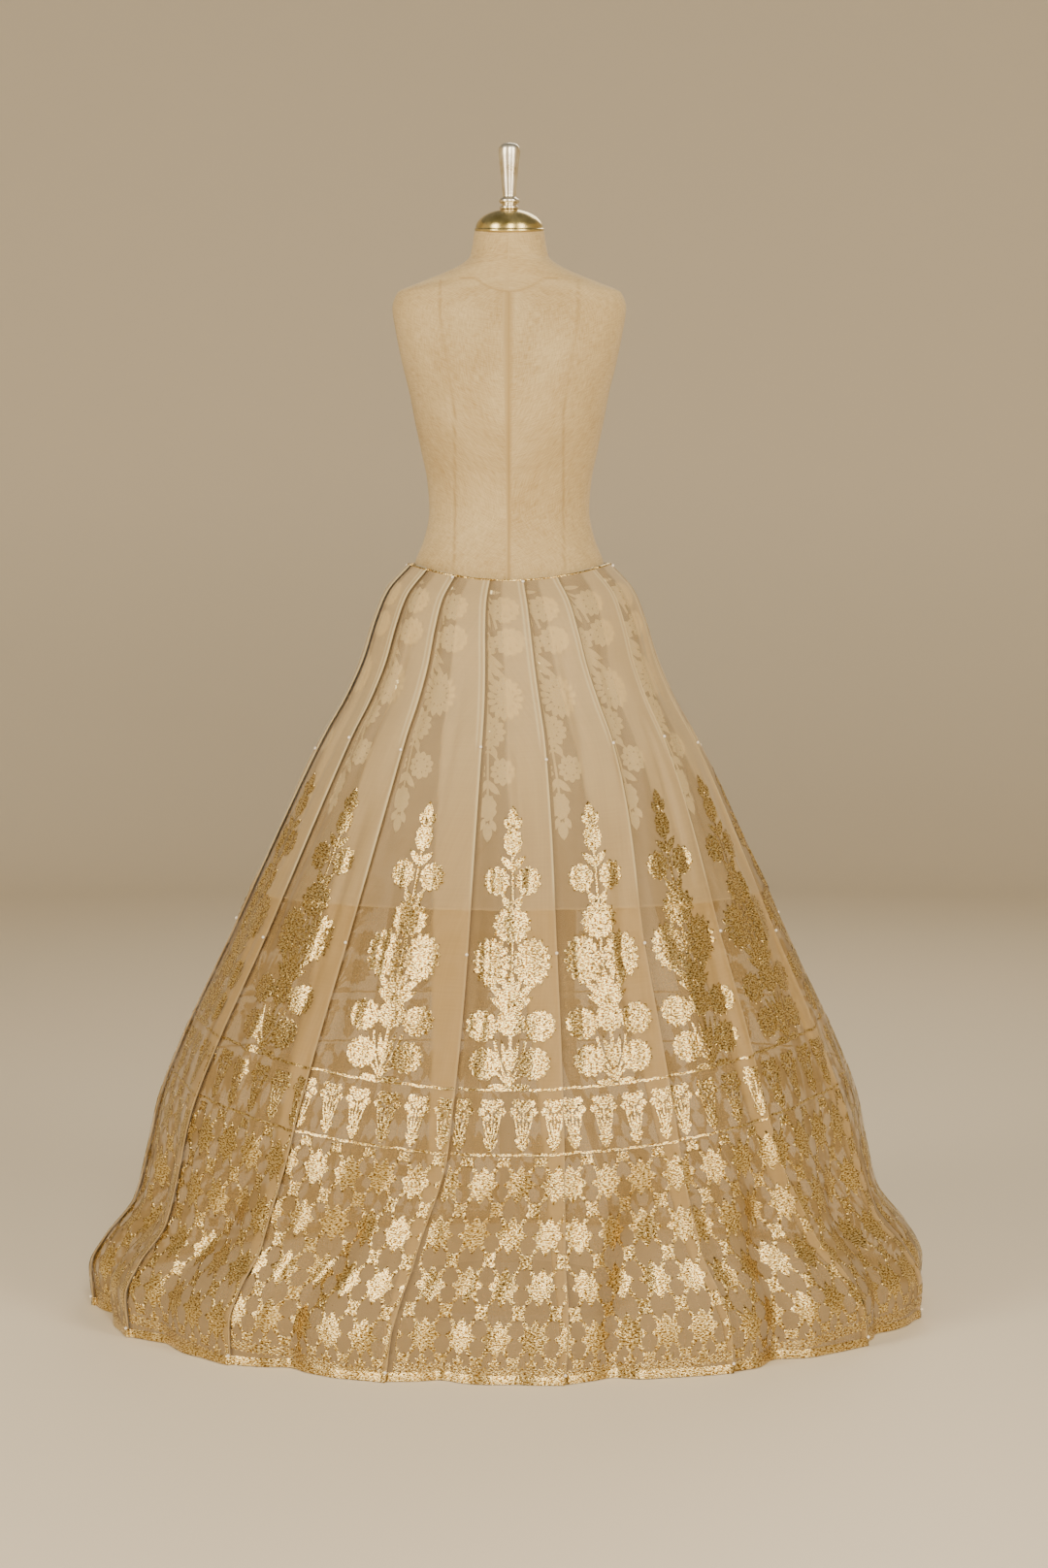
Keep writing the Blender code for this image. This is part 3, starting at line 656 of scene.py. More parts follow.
def small_plant():
    """The plant of the band between the lines: a crown of heads on stems that meet,
    with leaves at the foot. It is 0.081 m tall and stands at 0."""
    heads = [both_sides(rosette, place, radius, 6, 0.25, segments=12, rings=1)
             for place, radius in (((0.0105, 0.0710), 0.0068), ((0.0140, 0.0585), 0.0068),
                                   ((0.0078, 0.0500), 0.0064))]
    return join_shapes(
        flower((0.0, 0.0660), 0.0100, 8),
        blade((0.0, 0.0080), (0.0, 0.0580), 0.0030, even=True, steps=6),
        blade((0.0, 0.0000), (0.0, 0.0150), 0.0080),
        *heads,
        both_sides(blade, (0.0010, 0.0110), (0.0120, 0.0540), 0.0032, even=True, bend=0.002),
        both_sides(blade, (0.0005, 0.0150), (0.0066, 0.0480), 0.0046, steps=4),
        both_sides(blade, (0.0, 0.0110), (0.0105, 0.0215), 0.0062, bend=0.0015, steps=4),
        both_sides(blade, (0.0, 0.0050), (0.0082, 0.0120), 0.0052, steps=3),
    )


def lattice_star():
    """An eight-pointed star: four long petals, four short ones and a heart."""
    parts = []
    for number in range(8):
        turn = number * pi / 4.0
        way = np.array([np.cos(turn), np.sin(turn) * (1.15 if number % 2 else 1.0)])
        parts.append(blade(way * 0.0040, way * STAR_REACH[number % 4], 0.0142, belly=0.80, steps=4,
                           level=0.0001 * (number % 2)))
    parts.append(rosette(np.zeros(2), 0.0092, 8, 0.15, segments=16, rings=1, level=0.0003))
    return join_shapes(*parts)


def lattice_cross(ways):
    """The small flower between four stars, with the chains of lozenges that tie it
    to the stars above, below or both."""
    parts = [rosette(np.zeros(2), 0.0035, 4, 0.1, segments=8, rings=1, level=0.0002)]
    for across in (1.0, -1.0):
        for up in ways:
            parts.append(blade((0.0, 0.0), (0.0098 * across, 0.0118 * up), 0.0088, steps=3))
            for way in (0.42, 0.52, 0.62):
                x = way * across * COLUMN_PITCH / 2.0
                y = way * up * ROW_PITCH / 2.0
                parts.append(blade((x, y - 0.0047), (x, y + 0.0047), 0.0082, steps=2))
    for x, y in ((0.0100, 0.0), (-0.0100, 0.0), *((0.0, 0.0118 * up) for up in ways)):
        parts.append(blade((x * 0.2, y * 0.2), (x, y), 0.0062, steps=2, level=0.0001))
    return join_shapes(*parts)


def border_bud():
    """A small bud with two leaves, for the row above the hem's border."""
    return join_shapes(
        blade((0.0, -0.008), (0.0, 0.009), 0.0085, steps=3),
        blade((0.0, -0.008), (0.0095, 0.0010), 0.0060, steps=2),
        blade((-0.0095, 0.0010), (0.0, -0.008), 0.0060, steps=2),
    )


def border_chevron():
    """One stitch of the fine chevron rows under the buds."""
    return join_shapes(blade((-0.0044, -0.0026), (0.0004, 0.0026), 0.0025, steps=1, even=True),
                       blade((-0.0004, 0.0026), (0.0044, -0.0026), 0.0025, steps=1, even=True))


ANGLES = np.linspace(0.0, 2.0 * pi, 73)
DOWN_STEP = 0.004


def length_tables():
    """For each angle, ring heights against the distance down the cloth from the waist,
    and the whole length to the floor."""
    heights = TABLE_HEIGHTS[TABLE_HEIGHTS <= WAIST_SIDE][::-1]
    table, whole = [], []
    for angle in ANGLES:
        point, _ = ellipse(heights, np.full_like(heights, angle))
        z = heights - waist_drop(heights, angle)
        line = np.column_stack([point, z])
        down = run_lengths(line[:, None, :], 0)[:, 0]
        places = np.arange(0.0, 1.5, DOWN_STEP)
        table.append(np.interp(places, down, heights))
        whole.append(down[-1])
    return np.array(table), np.array(whole)


DOWN_TABLE, WHOLE_LENGTH = length_tables()


def height_at(angle, down):
    """Ring height of the pattern at a distance down the cloth from the waist. It runs
    higher by SIDE_RISE at the sides, and less and less so from the lower line down."""
    turn = np.mod(angle, 2.0 * pi) / (2.0 * pi) * (len(ANGLES) - 1)
    row = np.minimum(turn.astype(int), len(ANGLES) - 2)
    side = turn - row
    whole = WHOLE_LENGTH[row]
    left = np.clip((whole - down) / (whole - LOWER_LINE), 0.0, 1.0)
    down = down - SIDE_RISE * np.sin(angle) ** 2 * left * smoothstep(down / 0.3)
    low, high = (from_table(DOWN_TABLE, row + more, down, DOWN_STEP) for more in (0, 1))
    return low * (1.0 - side) + high * side


def pattern_place(pleat, across, down):
    """Share of the panel and ring height of a point of the pattern, given by how far
    it lies from the panel's middle and down from the waist."""
    pleat, across, down = np.broadcast_arrays(pleat, across, down)
    height = height_at(panel_angle(pleat, 0.5, 0.5), down)
    for _ in range(2):
        share = 0.5 + across / panel_width(pleat, height)
        height = height_at(panel_angle(pleat, np.clip(share, 0.0, 1.0), height), down)
    return share, height


def lattice_scale(pleat):
    """How much longer than at the front the cloth runs from the lower line to the
    floor, at the panel's middle."""
    middle = panel_angle(pleat, 0.5, 0.2)
    whole = np.interp(np.mod(middle, 2.0 * pi), ANGLES, WHOLE_LENGTH)
    return (whole - LOWER_LINE) / (WHOLE_LENGTH[0] - LOWER_LINE)


def scatter(name, shape, pleat, across, down, lift, first=0.0, stretch=1.0, turned=False,
            relief=1.0):
    """Copies of a shape on the cloth as one mesh, one for each pleat in the list; other
    values are one for each copy or one for all. Copies are cut at the panel's folds:
    what lies past a fold is drawn onto it and faces with no area are dropped. first is
    the share where the pattern may start, and relief scales the shape's own height."""
    points, triangles = shape
    sign = -1.0 if turned else 1.0
    pleat, across, down, first, stretch = (
        each[:, None] for each in np.broadcast_arrays(pleat, across, down, first, stretch))
    x = across + sign * points[:, 0]
    v = down - sign * points[:, 1] * stretch
    pleat = np.broadcast_to(pleat, x.shape)
    share, height = pattern_place(pleat, x, v)
    place = skirt_point(pleat, np.clip(share, first + 0.002, 0.998),
                        np.clip(height, 0.001, None), lift + relief * points[:, 2])
    corners = copied_corners(triangles, len(points), len(x))
    flat = place.reshape(-1, 3)
    one, two, three = (flat[corners[:, side]] for side in range(3))
    area = 0.5 * np.linalg.norm(np.cross(two - one, three - one), axis=-1)
    corners = corners[area > 2e-8]
    used, index = np.unique(corners, return_inverse=True)
    uv = np.stack([x + CLOTH_PITCH * pleat, -v], axis=-1).reshape(-1, 2)
    return make_mesh(name, flat[used], index.reshape(-1, 3), uv[used])


def first_share(pleat):
    """Share of a panel where its woven pattern starts: the first panel of a width
    has the plain margin of the cloth's edge."""
    shares = np.zeros(PLEATS)
    for name, first in WIDTHS.items():
        shares[first % PLEATS] = SELVEDGES[name]
    return shares[np.mod(pleat, PLEATS)]


# Materials


def add_node(tree, kind, inputs=None, **settings):
    """Add a node, set its properties, and fill or link its input sockets."""
    made = tree.nodes.new(kind)
    for name, value in settings.items():
        setattr(made, name, value)
    for socket, value in (inputs or {}).items():
        if isinstance(value, bpy.types.NodeSocket):
            tree.links.new(value, made.inputs[socket])
        else:
            made.inputs[socket].default_value = value
    return made


def new_material(name, values):
    """A material with one Principled node whose plain sockets are set."""
    made = bpy.data.materials.new(name)
    made.use_nodes = True
    tree = made.node_tree
    shader = tree.nodes["Principled BSDF"]
    for socket, value in values.items():
        shader.inputs[socket].default_value = value
    return made, tree, shader


def ramp(tree, source, stops):
    """A colour ramp over (place, linear colour) stops."""
    made = add_node(tree, "ShaderNodeValToRGB", {"Fac": source})
    elements = made.color_ramp.elements
    elements[0].position, elements[0].color = stops[0][0], (*stops[0][1], 1.0)
    elements[1].position, elements[1].color = stops[-1][0], (*stops[-1][1], 1.0)
    for place, colour in stops[1:-1]:
        elements.new(place).color = (*colour, 1.0)
    return made.outputs["Color"]


def scaled_uv(tree, across, down):
    """The piece's UV in metres turned to cells of the given sizes in millimetres."""
    uv = add_node(tree, "ShaderNodeUVMap", uv_map="UVMap")
    return add_node(tree, "ShaderNodeMapping", {
        "Vector": uv.outputs["UV"],
        "Scale": (1000.0 / across, 1000.0 / down, 1.0),
    }).outputs["Vector"]


def noise(tree, vector, detail, roughness=0.5, scale=1.0):
    """Soft noise over a vector socket, about 0.5 in the middle."""
    made = add_node(tree, "ShaderNodeTexNoise", {
        "Vector": vector, "Scale": scale, "Detail": detail, "Roughness": roughness})
    return made.outputs["Fac"]


def mark(tree, name):
    """A value kept at the points of the mesh."""
    return add_node(tree, "ShaderNodeAttribute", attribute_name=name).outputs["Fac"]


def blend(tree, share, first, second):
    """A value that goes from the first to the second by a share."""
    return add_node(tree, "ShaderNodeMix", {0: share, 2: first, 3: second}).outputs[0]


def tint(tree, share, colour, other):
    """A colour socket that goes over to a plain colour by a share."""
    made = add_node(tree, "ShaderNodeMix", {0: share, 6: colour, 7: (*other, 1.0)},
                    data_type="RGBA")
    return made.outputs[2]


def colour_from(tree, shader, socket):
    """Take the shader's colour from a socket."""
    tree.links.new(socket, shader.inputs["Base Color"])


def roughness_from(tree, shader, value, low, high):
    """Let the shader's roughness run from low to high with a value."""
    made = add_node(tree, "ShaderNodeMapRange", {"Value": value, "To Min": low, "To Max": high})
    tree.links.new(made.outputs["Result"], shader.inputs["Roughness"])


def bump_from(tree, shader, height, strength, distance):
    """Raise the surface by a height socket, at most by a distance in metres."""
    made = add_node(tree, "ShaderNodeBump", {
        "Height": height, "Strength": strength, "Distance": distance})
    tree.links.new(made.outputs["Normal"], shader.inputs["Normal"])


def organza(name, light, dark, edge, alpha):
    """Silk organza, a sheer plain weave of stiff fine threads: matt, pale, and seen
    through. Threads are 0.2 mm apart, too fine to show, so the slubs that do show are
    drawn, 5 mm apart down the cloth and 3 mm apart across it."""
    made, tree, shader = new_material(name, {
        "Roughness": 0.55, "Alpha": alpha, "Sheen Weight": 0.25, "Sheen Roughness": 0.45,
        "Specular IOR Level": 0.35,
    })
    weave = blend(tree, 0.4, noise(tree, scaled_uv(tree, 5.0, 160.0), 4.0, 0.6),
                  noise(tree, scaled_uv(tree, 120.0, 3.0), 3.0, 0.6))
    uneven = blend(tree, 0.30, weave, noise(tree, scaled_uv(tree, 70.0, 190.0), 1.0))
    # Painted shade from the fullness mark: darker where one layer lies and at each fold's foot,
    # lighter where three layers lie
    tone = blend(tree, 0.52, uneven, mark(tree, "fullness"))
    colour = ramp(tree, tone, [(0.18, dark), (0.82, light)])
    # Painted highlight: the fold_edge mark tints the cloth towards the edge colour along folds and
    # tucks
    colour_from(tree, shader, tint(tree, mark(tree, "fold_edge"), colour, edge))
    bump_from(tree, shader, weave, 0.25, 0.0006)
    return made


def zari(name, bright, middle, deep):
    """Zari, a flat metallic gold thread floated across the weave: it glints where it
    faces the light and is deep bronze where it turns away. The floats are 4 mm long
    and 2 mm apart here, about twice the real ones, so that they show."""
    made, tree, shader = new_material(name, {
        "Metallic": 0.92, "Anisotropic": 0.75, "Anisotropic Rotation": 0.25})
    along = add_node(tree, "ShaderNodeTangent", direction_type="UV_MAP", uv_map="UVMap")
    tree.links.new(along.outputs["Tangent"], shader.inputs["Tangent"])
    floats = noise(tree, scaled_uv(tree, 4.0, 2.0), 2.0, 0.55)
    # The floats' colour is partly painted light: bright on raised floats as a painted glint, deep
    # between them as painted shade, over the weave's own pattern
    colour_from(tree, shader,
                ramp(tree, floats, [(0.40, deep), (0.48, middle), (0.57, bright)]))
    roughness_from(tree, shader, noise(tree, scaled_uv(tree, 26.0, 26.0), 2.0), 0.20, 0.32)
    bump_from(tree, shader, floats, 1.0, 0.0008)
    return made


def zari_wrong_side(name, light, dark):
    """The wrong side of the gold weave, where the metal is caught under silk: matt and
    cream, with the same floats as the right side."""
    made, tree, shader = new_material(name, {
        "Roughness": 0.6, "Specular IOR Level": 0.4})
    floats = noise(tree, scaled_uv(tree, 4.0, 2.2), 3.0, 0.6)
    colour_from(tree, shader, ramp(tree, floats, [(0.34, dark), (0.58, light)]))
    bump_from(tree, shader, floats, 0.15, 0.0005)
    return made


def linen(name, light, dark):
    """Unbleached linen, a plain weave of uneven yarn stretched over the form: matt,
    with slubs both ways. Yarns are 0.6 mm apart and are drawn 1.6 mm apart."""
    made, tree, shader = new_material(name, {
        "Roughness": 0.85, "Sheen Weight": 0.15, "Specular IOR Level": 0.25})
    yarn = blend(tree, 0.5, noise(tree, scaled_uv(tree, 1.6, 14.0), 3.0),
                 noise(tree, scaled_uv(tree, 14.0, 1.6), 3.0))
    tone = blend(tree, 0.3, yarn, noise(tree, scaled_uv(tree, 90.0, 120.0), 2.0))
    colour = ramp(tree, tone, [(0.36, dark), (0.62, light)])
    colour_from(tree, shader, tint(tree, mark(tree, "fold_edge"), colour, dark))
    bump_from(tree, shader, yarn, 0.5, 0.0008)
    return made


def spun_metal(name, colour, dark, roughness):
    """Metal spun or turned on a lathe and lacquered: a soft mirror with fine rings."""
    made, tree, shader = new_material(name, {"Metallic": 1.0, "Coat Weight": 0.3,
                                             "Coat Roughness": 0.12})
    place = add_node(tree, "ShaderNodeTexCoord").outputs["Object"]
    rings = add_node(tree, "ShaderNodeMapping", {"Vector": place, "Scale": (8.0, 8.0, 900.0)})
    smudge = noise(tree, place, 3.0, scale=40.0)
    colour_from(tree, shader, ramp(tree, smudge, [(0.3, dark), (0.6, colour)]))
    roughness_from(tree, shader, smudge, roughness * 0.8, roughness * 1.3)
    bump_from(tree, shader, noise(tree, rings.outputs["Vector"], 2.0), 0.08, 0.0003)
    return made


def painted_steel(name, colour):
    """Powder-coated mild steel: a fine orange-peel skin, half matt."""
    made, tree, shader = new_material(name, {"Base Color": (*colour, 1.0), "Roughness": 0.42})
    place = add_node(tree, "ShaderNodeTexCoord").outputs["Object"]
    bump_from(tree, shader, noise(tree, place, 2.0, scale=700.0), 0.2, 0.0004)
    return made


def pearl(name, colour):
    """Plastic pearl pin head: glossy, milky, with a clear coat."""
    return new_material(name, {
        "Base Color": (*colour, 1.0), "Roughness": 0.2, "Coat Weight": 0.8})[0]


def length_property(name, description, metres, least):
    """A length property with its default and its least value."""
    return FloatProperty(name=name, description=description, default=metres, min=least,
                         unit="LENGTH")


def colour_property(name, description, text):
    """A colour property whose default is an sRGB hex colour."""
    return FloatVectorProperty(name=name, description=description, subtype="COLOR", size=3,
                               min=0.0, max=1.0, default=hex_colour(text))


class LehengaSizes(PropertyGroup):
    """Sizes a user would change."""

    row_step: length_property("Cloth row step", "Height of one row of the cloth", 0.008, 0.003)
    panel_columns: IntProperty(name="Panel columns", description="Columns across one panel",
                               default=40, min=8)
    zari_lift: length_property("Gold lift", "Woven gold off the cloth's middle", 0.0006, 0.0002)
    line_width: length_property("Gold line", "Width of the two gold lines", 0.0036, 0.001)
    hem_height: length_property("Hem height", "Height of the gold turned hem", 0.012, 0.002)
    cord_radius: length_property("Waist cord", "Radius of the waist's gold edge", 0.0019, 0.0005)
    pin_radius: length_property("Pin head", "Radius of a pearl pin head", 0.0024, 0.0005)
    seam_depth: length_property("Seam depth", "Depth of the form's seams", 0.001, 0.0)


class LehengaColours(PropertyGroup):
    """Colours and opacity a user would change."""

    # The organza's light and dark are mixed by its slubs and by painted shade; the fold edge
    # colour is a painted highlight, also used on the inner ply's cut edge
    cloth_light: colour_property("Organza, light", "Thin places of the organza", "#C6A467")
    cloth_dark: colour_property("Organza, dark", "Thick places of the organza", "#6C4F2A")
    cloth_edge: colour_property("Fold edge", "Organza along a pressed fold", "#EBD7A4")
    # The inner ply's light and dark are mixed by its slubs and mostly by painted shade
    inner_light: colour_property("Inner ply, light", "Turned-down ply, full", "#F3EFD8")
    inner_dark: colour_property("Inner ply, dark", "Turned-down ply, thin", "#A38D62")
    # Zari bright and deep are partly painted glint and painted shade on the floats
    gold_bright: colour_property("Zari, bright", "Raised floats of the zari", "#F3DFA4")
    gold_middle: colour_property("Zari, middle", "Most of the zari", "#CBA658")
    gold_deep: colour_property("Zari, deep", "Between the floats", "#6E4C1A")
    reverse_light: colour_property("Zari reverse, light", "Wrong side of the zari", "#FFF4C8")
    reverse_dark: colour_property("Zari reverse, dark", "Between its floats", "#FBEBB4")
    linen_light: colour_property("Linen, light", "Raised yarn of the cover", "#CFB786")
    linen_dark: colour_property("Linen, dark", "Sunk yarn and seams", "#A68A57")
    cap: colour_property("Cap", "Lacquered brass of the neck cap", "#EAD592")
    cap_dark: colour_property("Cap, dull", "Handled places of the cap", "#B49F58")
    handle: colour_property("Handle", "Champagne metal of the handle", "#F8F0DC")
    handle_dark: colour_property("Handle, dull", "Handled places of the handle", "#E2D4B4")
    steel: colour_property("Painted steel", "Pole and floor plate", "#B9B4AA")
    pearl: colour_property("Pearl", "Pin heads", "#F3EADB")
    floor: colour_property("Floor", "Studio floor and cove", "#E6DAC2")
    opacity: FloatProperty(name="Cloth opacity", description="Share of light one ply stops",
                           default=0.54, min=0.05, max=1.0, subtype="FACTOR")


def sizes():
    """The scene's sizes."""
    return bpy.context.scene.lehenga_sizes


def colours():
    """The scene's colours."""
    return bpy.context.scene.lehenga_colours


def shared_material(name, maker, *tints, **values):
    """A material made once and used again; tints are names of the scene's colours."""
    chosen = [tuple(getattr(colours(), tint)) for tint in tints]
    return bpy.data.materials.get(name) or maker(name, *chosen, **values)


def zari_piece(piece, replaced=()):
    """Finish a piece of woven gold."""
    finish = shared_material("zari_metal_thread", zari, "gold_bright", "gold_middle",
                             "gold_deep")
    finish_piece(piece, finish, replaced)


def cloth_rows():
    """Heights of the cloth's rows, from the waist down."""
    return np.linspace(WAIST_SIDE, 0.0, int(round(WAIST_SIDE / sizes().row_step)) + 1)


def side_by_side(strips):
    """Points and both values of several pleats' strips, each as one grid."""
    return [np.concatenate(parts, axis=1) for parts in zip(*strips)]


class LEHENGA_OT_cloth(Operator):
    """Make the four pleated widths of sheer cloth"""

    bl_idname = "lehenga.cloth"
    bl_label = "Pleated widths"

    def execute(self, context):
        heights = cloth_rows()
        counts = (10, sizes().panel_columns, 5, 14, 4)
        finish = shared_material("silk_organza", organza, "cloth_light", "cloth_dark",
                                 "cloth_edge", alpha=colours().opacity)
        for name, first in WIDTHS.items():
            points, edge, full = side_by_side(
                pleat_strip(first + number, heights, 0.0, counts, number == WIDTH_PLEATS - 1)
                for number in range(WIDTH_PLEATS))
            piece = grid_mesh(f"organza_{name}", points, False, fold_edge=edge, fullness=full)
            finish_piece(piece, finish, [f"skirt_width_{name}"])
        return {"FINISHED"}


class LEHENGA_OT_inner_ply(Operator):
    """Make the ply that is turned down inside from the waist"""

    bl_idname = "lehenga.inner_ply"
    bl_label = "Turned-down ply"

    def execute(self, context):
        heights = cloth_rows()
        heights = np.append(heights[heights > TURNED_END + 0.005],
                            TURNED_END + np.array([0.004, 0.003, 0.0015, 0.0]))
        counts = (8, sizes().panel_columns, 3, 14, 2)
        points, edge, full = side_by_side(
            pleat_strip(pleat, heights, INNER_PLY, counts, False) for pleat in range(PLEATS))
        # The inner ply gets its folds' painted highlight at 0.4 strength and the edge colour on
        # its cut edge; its painted shade is softened and painted darker towards its lower end
        cut_edge = smoothstep((TURNED_END + 0.004 - heights) / 0.003)[:, None]
        fade = (0.35 + 0.65 * smoothstep((heights - TURNED_END) / 0.30))[:, None]
        piece = grid_mesh("organza_turned_down", points,
                          fold_edge=np.maximum(0.4 * edge, cut_edge),
                          fullness=(0.5 + 0.5 * full) * fade)
        finish = shared_material("silk_organza_inner", organza, "inner_light", "inner_dark",
                                 "cloth_edge", alpha=colours().opacity)
        finish_piece(piece, finish, ["skirt_turned_top"])
        return {"FINISHED"}


class LEHENGA_OT_tall_motifs(Operator):
    """Weave the tall flowering plants, and the faint ones on the turned-down ply"""

    bl_idname = "lehenga.tall_motifs"
    bl_label = "Tall motifs"

    def execute(self, context):
        pleat = np.arange(PLEATS)
        shape = flowering_plant()
        zari_piece(scatter("zari_tall_motifs", shape, pleat, 0.0, UPPER_LINE,
                           sizes().zari_lift, stretch=PLANT_STRETCH))
        # The inner ply's plants hang upside down by each fold, wrong side out
        across = 0.003 - 0.5 * panel_width(pleat, 0.95)
        piece = scatter("zari_inner_motifs", shape, pleat, across, 0.020, -0.55 * INNER_PLY,
                        first=0.06, turned=True, relief=0.25)
        finish = shared_material("zari_wrong_side", zari_wrong_side, "reverse_light",
                                 "reverse_dark")
        finish_piece(piece, finish)
        return {"FINISHED"}


class LEHENGA_OT_band(Operator):
    """Weave the band of small plants and the two gold lines beside it"""

    bl_idname = "lehenga.band"
    bl_label = "Plant band and lines"

    def execute(self, context):
        pleat, across = pattern_columns(PLANT_PITCH)
        zari_piece(scatter("zari_small_plants", small_plant(), pleat, across,
                           LOWER_LINE - 0.003, sizes().zari_lift, first=first_share(pleat)))
        zari_piece(gold_lines(sizes().line_width, sizes().zari_lift))
        return {"FINISHED"}


def pattern_columns(pitch, reach=4):
    """Pleat and place across of every column of a repeat that runs on through the
    folds, so that it starts elsewhere on each panel; reach is the number of columns on
    each side of the panel's middle."""
    pleat = np.repeat(np.arange(PLEATS), 2 * reach + 1)
    step = np.tile(np.arange(-reach, reach + 1), PLEATS)
    return pleat, pitch * step - np.mod(pleat * CLOTH_PITCH, pitch) + pitch / 2.0


def gold_lines(width, lift):
    """The two gold lines: a ribbon on each panel at one distance down the cloth, its
    edges a little uneven."""
    share = np.linspace(0.0, 1.0, 49)
    pleat = np.repeat(np.arange(PLEATS), 2)[:, None, None]
    line = np.tile((UPPER_LINE, LOWER_LINE), PLEATS)[:, None, None]
    first = first_share(pleat)
    span = first + (1.0 - first) * share
    down = line + LINE_WAVE * np.sin(span * 41.0 + pleat) + np.array([[-0.5], [0.5]]) * width
    pleat, span, down = np.broadcast_arrays(pleat, span, down)
    height = height_at(panel_angle(pleat, 0.5, 0.4), down)
    for _ in range(2):
        height = height_at(panel_angle(pleat, span, height), down)
    place = skirt_point(pleat, span, height, lift)
    uv = np.stack([span * panel_width(pleat, height), -down], axis=-1)
    return make_mesh("zari_lines", place, copied_corners(grid_corners(2, share.size),
                                                         2 * share.size, len(pleat)), uv)


class LEHENGA_OT_lattice(Operator):
    """Weave the lattice of stars and the border above the hem"""

    bl_idname = "lehenga.lattice"
    bl_label = "Lattice and border"

    def execute(self, context):
        lift = sizes().zari_lift
        pleat, across = pattern_columns(COLUMN_PITCH)
        rows = np.arange(STAR_ROWS)
        zari_piece(self.rows("zari_stars", lattice_star(), pleat, across, rows, lift))
        for name, ways, between in (("zari_crosses", (1.0, -1.0), rows[:-1] + 0.5),
                                    ("zari_top_crosses", (-1.0,), rows[:1] - 0.5),
                                    ("zari_foot_crosses", (1.0,), rows[-1:] + 0.5)):
            zari_piece(self.rows(name, lattice_cross(ways), pleat,
                                 across + COLUMN_PITCH / 2.0, between, lift))
        zari_piece(self.border("zari_buds", border_bud(), COLUMN_PITCH, (BUD_ROW,), lift))
        zari_piece(self.border("zari_chevrons", border_chevron(), COLUMN_PITCH / 6.0,
                               CHEVRON_ROWS, lift))
        return {"FINISHED"}

    def border(self, name, shape, pitch, rows, lift):
        """Rows of a small shape along the hem, each so far above the floor."""
        pleat, across = pattern_columns(pitch, int(BORDER_REACH / pitch))
        whole = LOWER_LINE + lattice_scale(pleat) * (WHOLE_LENGTH[0] - LOWER_LINE)
        inside = np.abs(across) < 0.5 * panel_width(pleat, 0.02) + pitch
        pleat, across, down = (
            each[:, inside].ravel()
            for each in np.broadcast_arrays(pleat, across, whole - np.array(rows)[:, None]))
        return scatter(name, shape, pleat, across, down, lift, first=first_share(pleat))

    def rows(self, name, shape, pleat, across, rows, lift):
        """The shape at every column in the given rows of the lattice."""
        scale = lattice_scale(pleat)
        down = LOWER_LINE + (LATTICE_START + rows[:, None] * ROW_PITCH) * scale
        pleat, across, down, scale = (
            each.ravel() for each in np.broadcast_arrays(pleat, across, down, scale))
        return scatter(name, shape, pleat, across, down, lift, first=first_share(pleat),
                       stretch=scale)


def outline(heights, columns, lift):
    """The outline that shows all round at some heights: each panel and the round of
    its fold, then the step in to the next panel. Returns (rows, columns, 3)."""
    z = heights[:, None]
    share = np.linspace(0.0, 1.0, columns)[None, :]
    turn = np.linspace(0.0, 1.0, 5)[None, :-1]
    parts = []
    for pleat in range(PLEATS):
        parts.append(skirt_point(pleat, share, z, lift))
        parts.append(half_turn(pleat, 1.0, z, -LAYER_PITCH / 2.0, LAYER_PITCH / 2.0 + 0.0004,
                               0.15 + 0.6 * turn, 1.0))
    return np.concatenate(parts, axis=1)


class LEHENGA_OT_edges(Operator):
    """Make the gold turned hem and the woven gold edge of the waist"""

    bl_idname = "lehenga.edges"
    bl_label = "Hem and waist edges"

    def execute(self, context):
        top = sizes().hem_height
        rows = np.linspace(1.0, 0.0, 6)
        lift = (HEM_LIFT + HEM_FLARE * (1.0 - rows) + HEM_BELLY * np.sin(pi * rows))[:, None]
        points = outline(HEM_FOOT + top * rows, 34, lift)
        zari_piece(grid_mesh("zari_hem", points), ["skirt_hem_band"])
        path = outline(np.array([WAIST_SIDE]), 16, 0.0)[0]
        radius = sizes().cord_radius
        turn = round_turn(8)[:, None, None]
        level = path[:, :2] / np.linalg.norm(path[:, :2], axis=1, keepdims=True)
        outwards = np.column_stack([level, np.zeros(len(level))])[None]
        points = path[None] + radius * (np.sin(turn) * outwards
                                        + np.cos(turn) * np.array([0.0, 0.0, 1.0]))
        points = points - np.array([0.0, 0.0, radius])
        zari_piece(grid_mesh("zari_waist_edge", np.concatenate([points, points[:1]])),
                   ["skirt_waist_edge"])
        return {"FINISHED"}


# Pearl-headed pins: heights of the two tiers at each fold of half the skirt. Each fold
# has one at its foot too, and the folds of WAIST_PINNED have one at the waist.
WAIST_PINNED = (0, 3, 6)
PIN_TIERS = [(0.858, 0.586), (0.880, 0.596), (0.886, 0.604), (0.872, 0.590),
             (0.862, 0.600), (0.884, 0.588), (0.870, 0.594), (0.876, 0.584)]
PIN_FOOT = 0.014
PIN_WAIST = WAIST_SIDE - 0.004


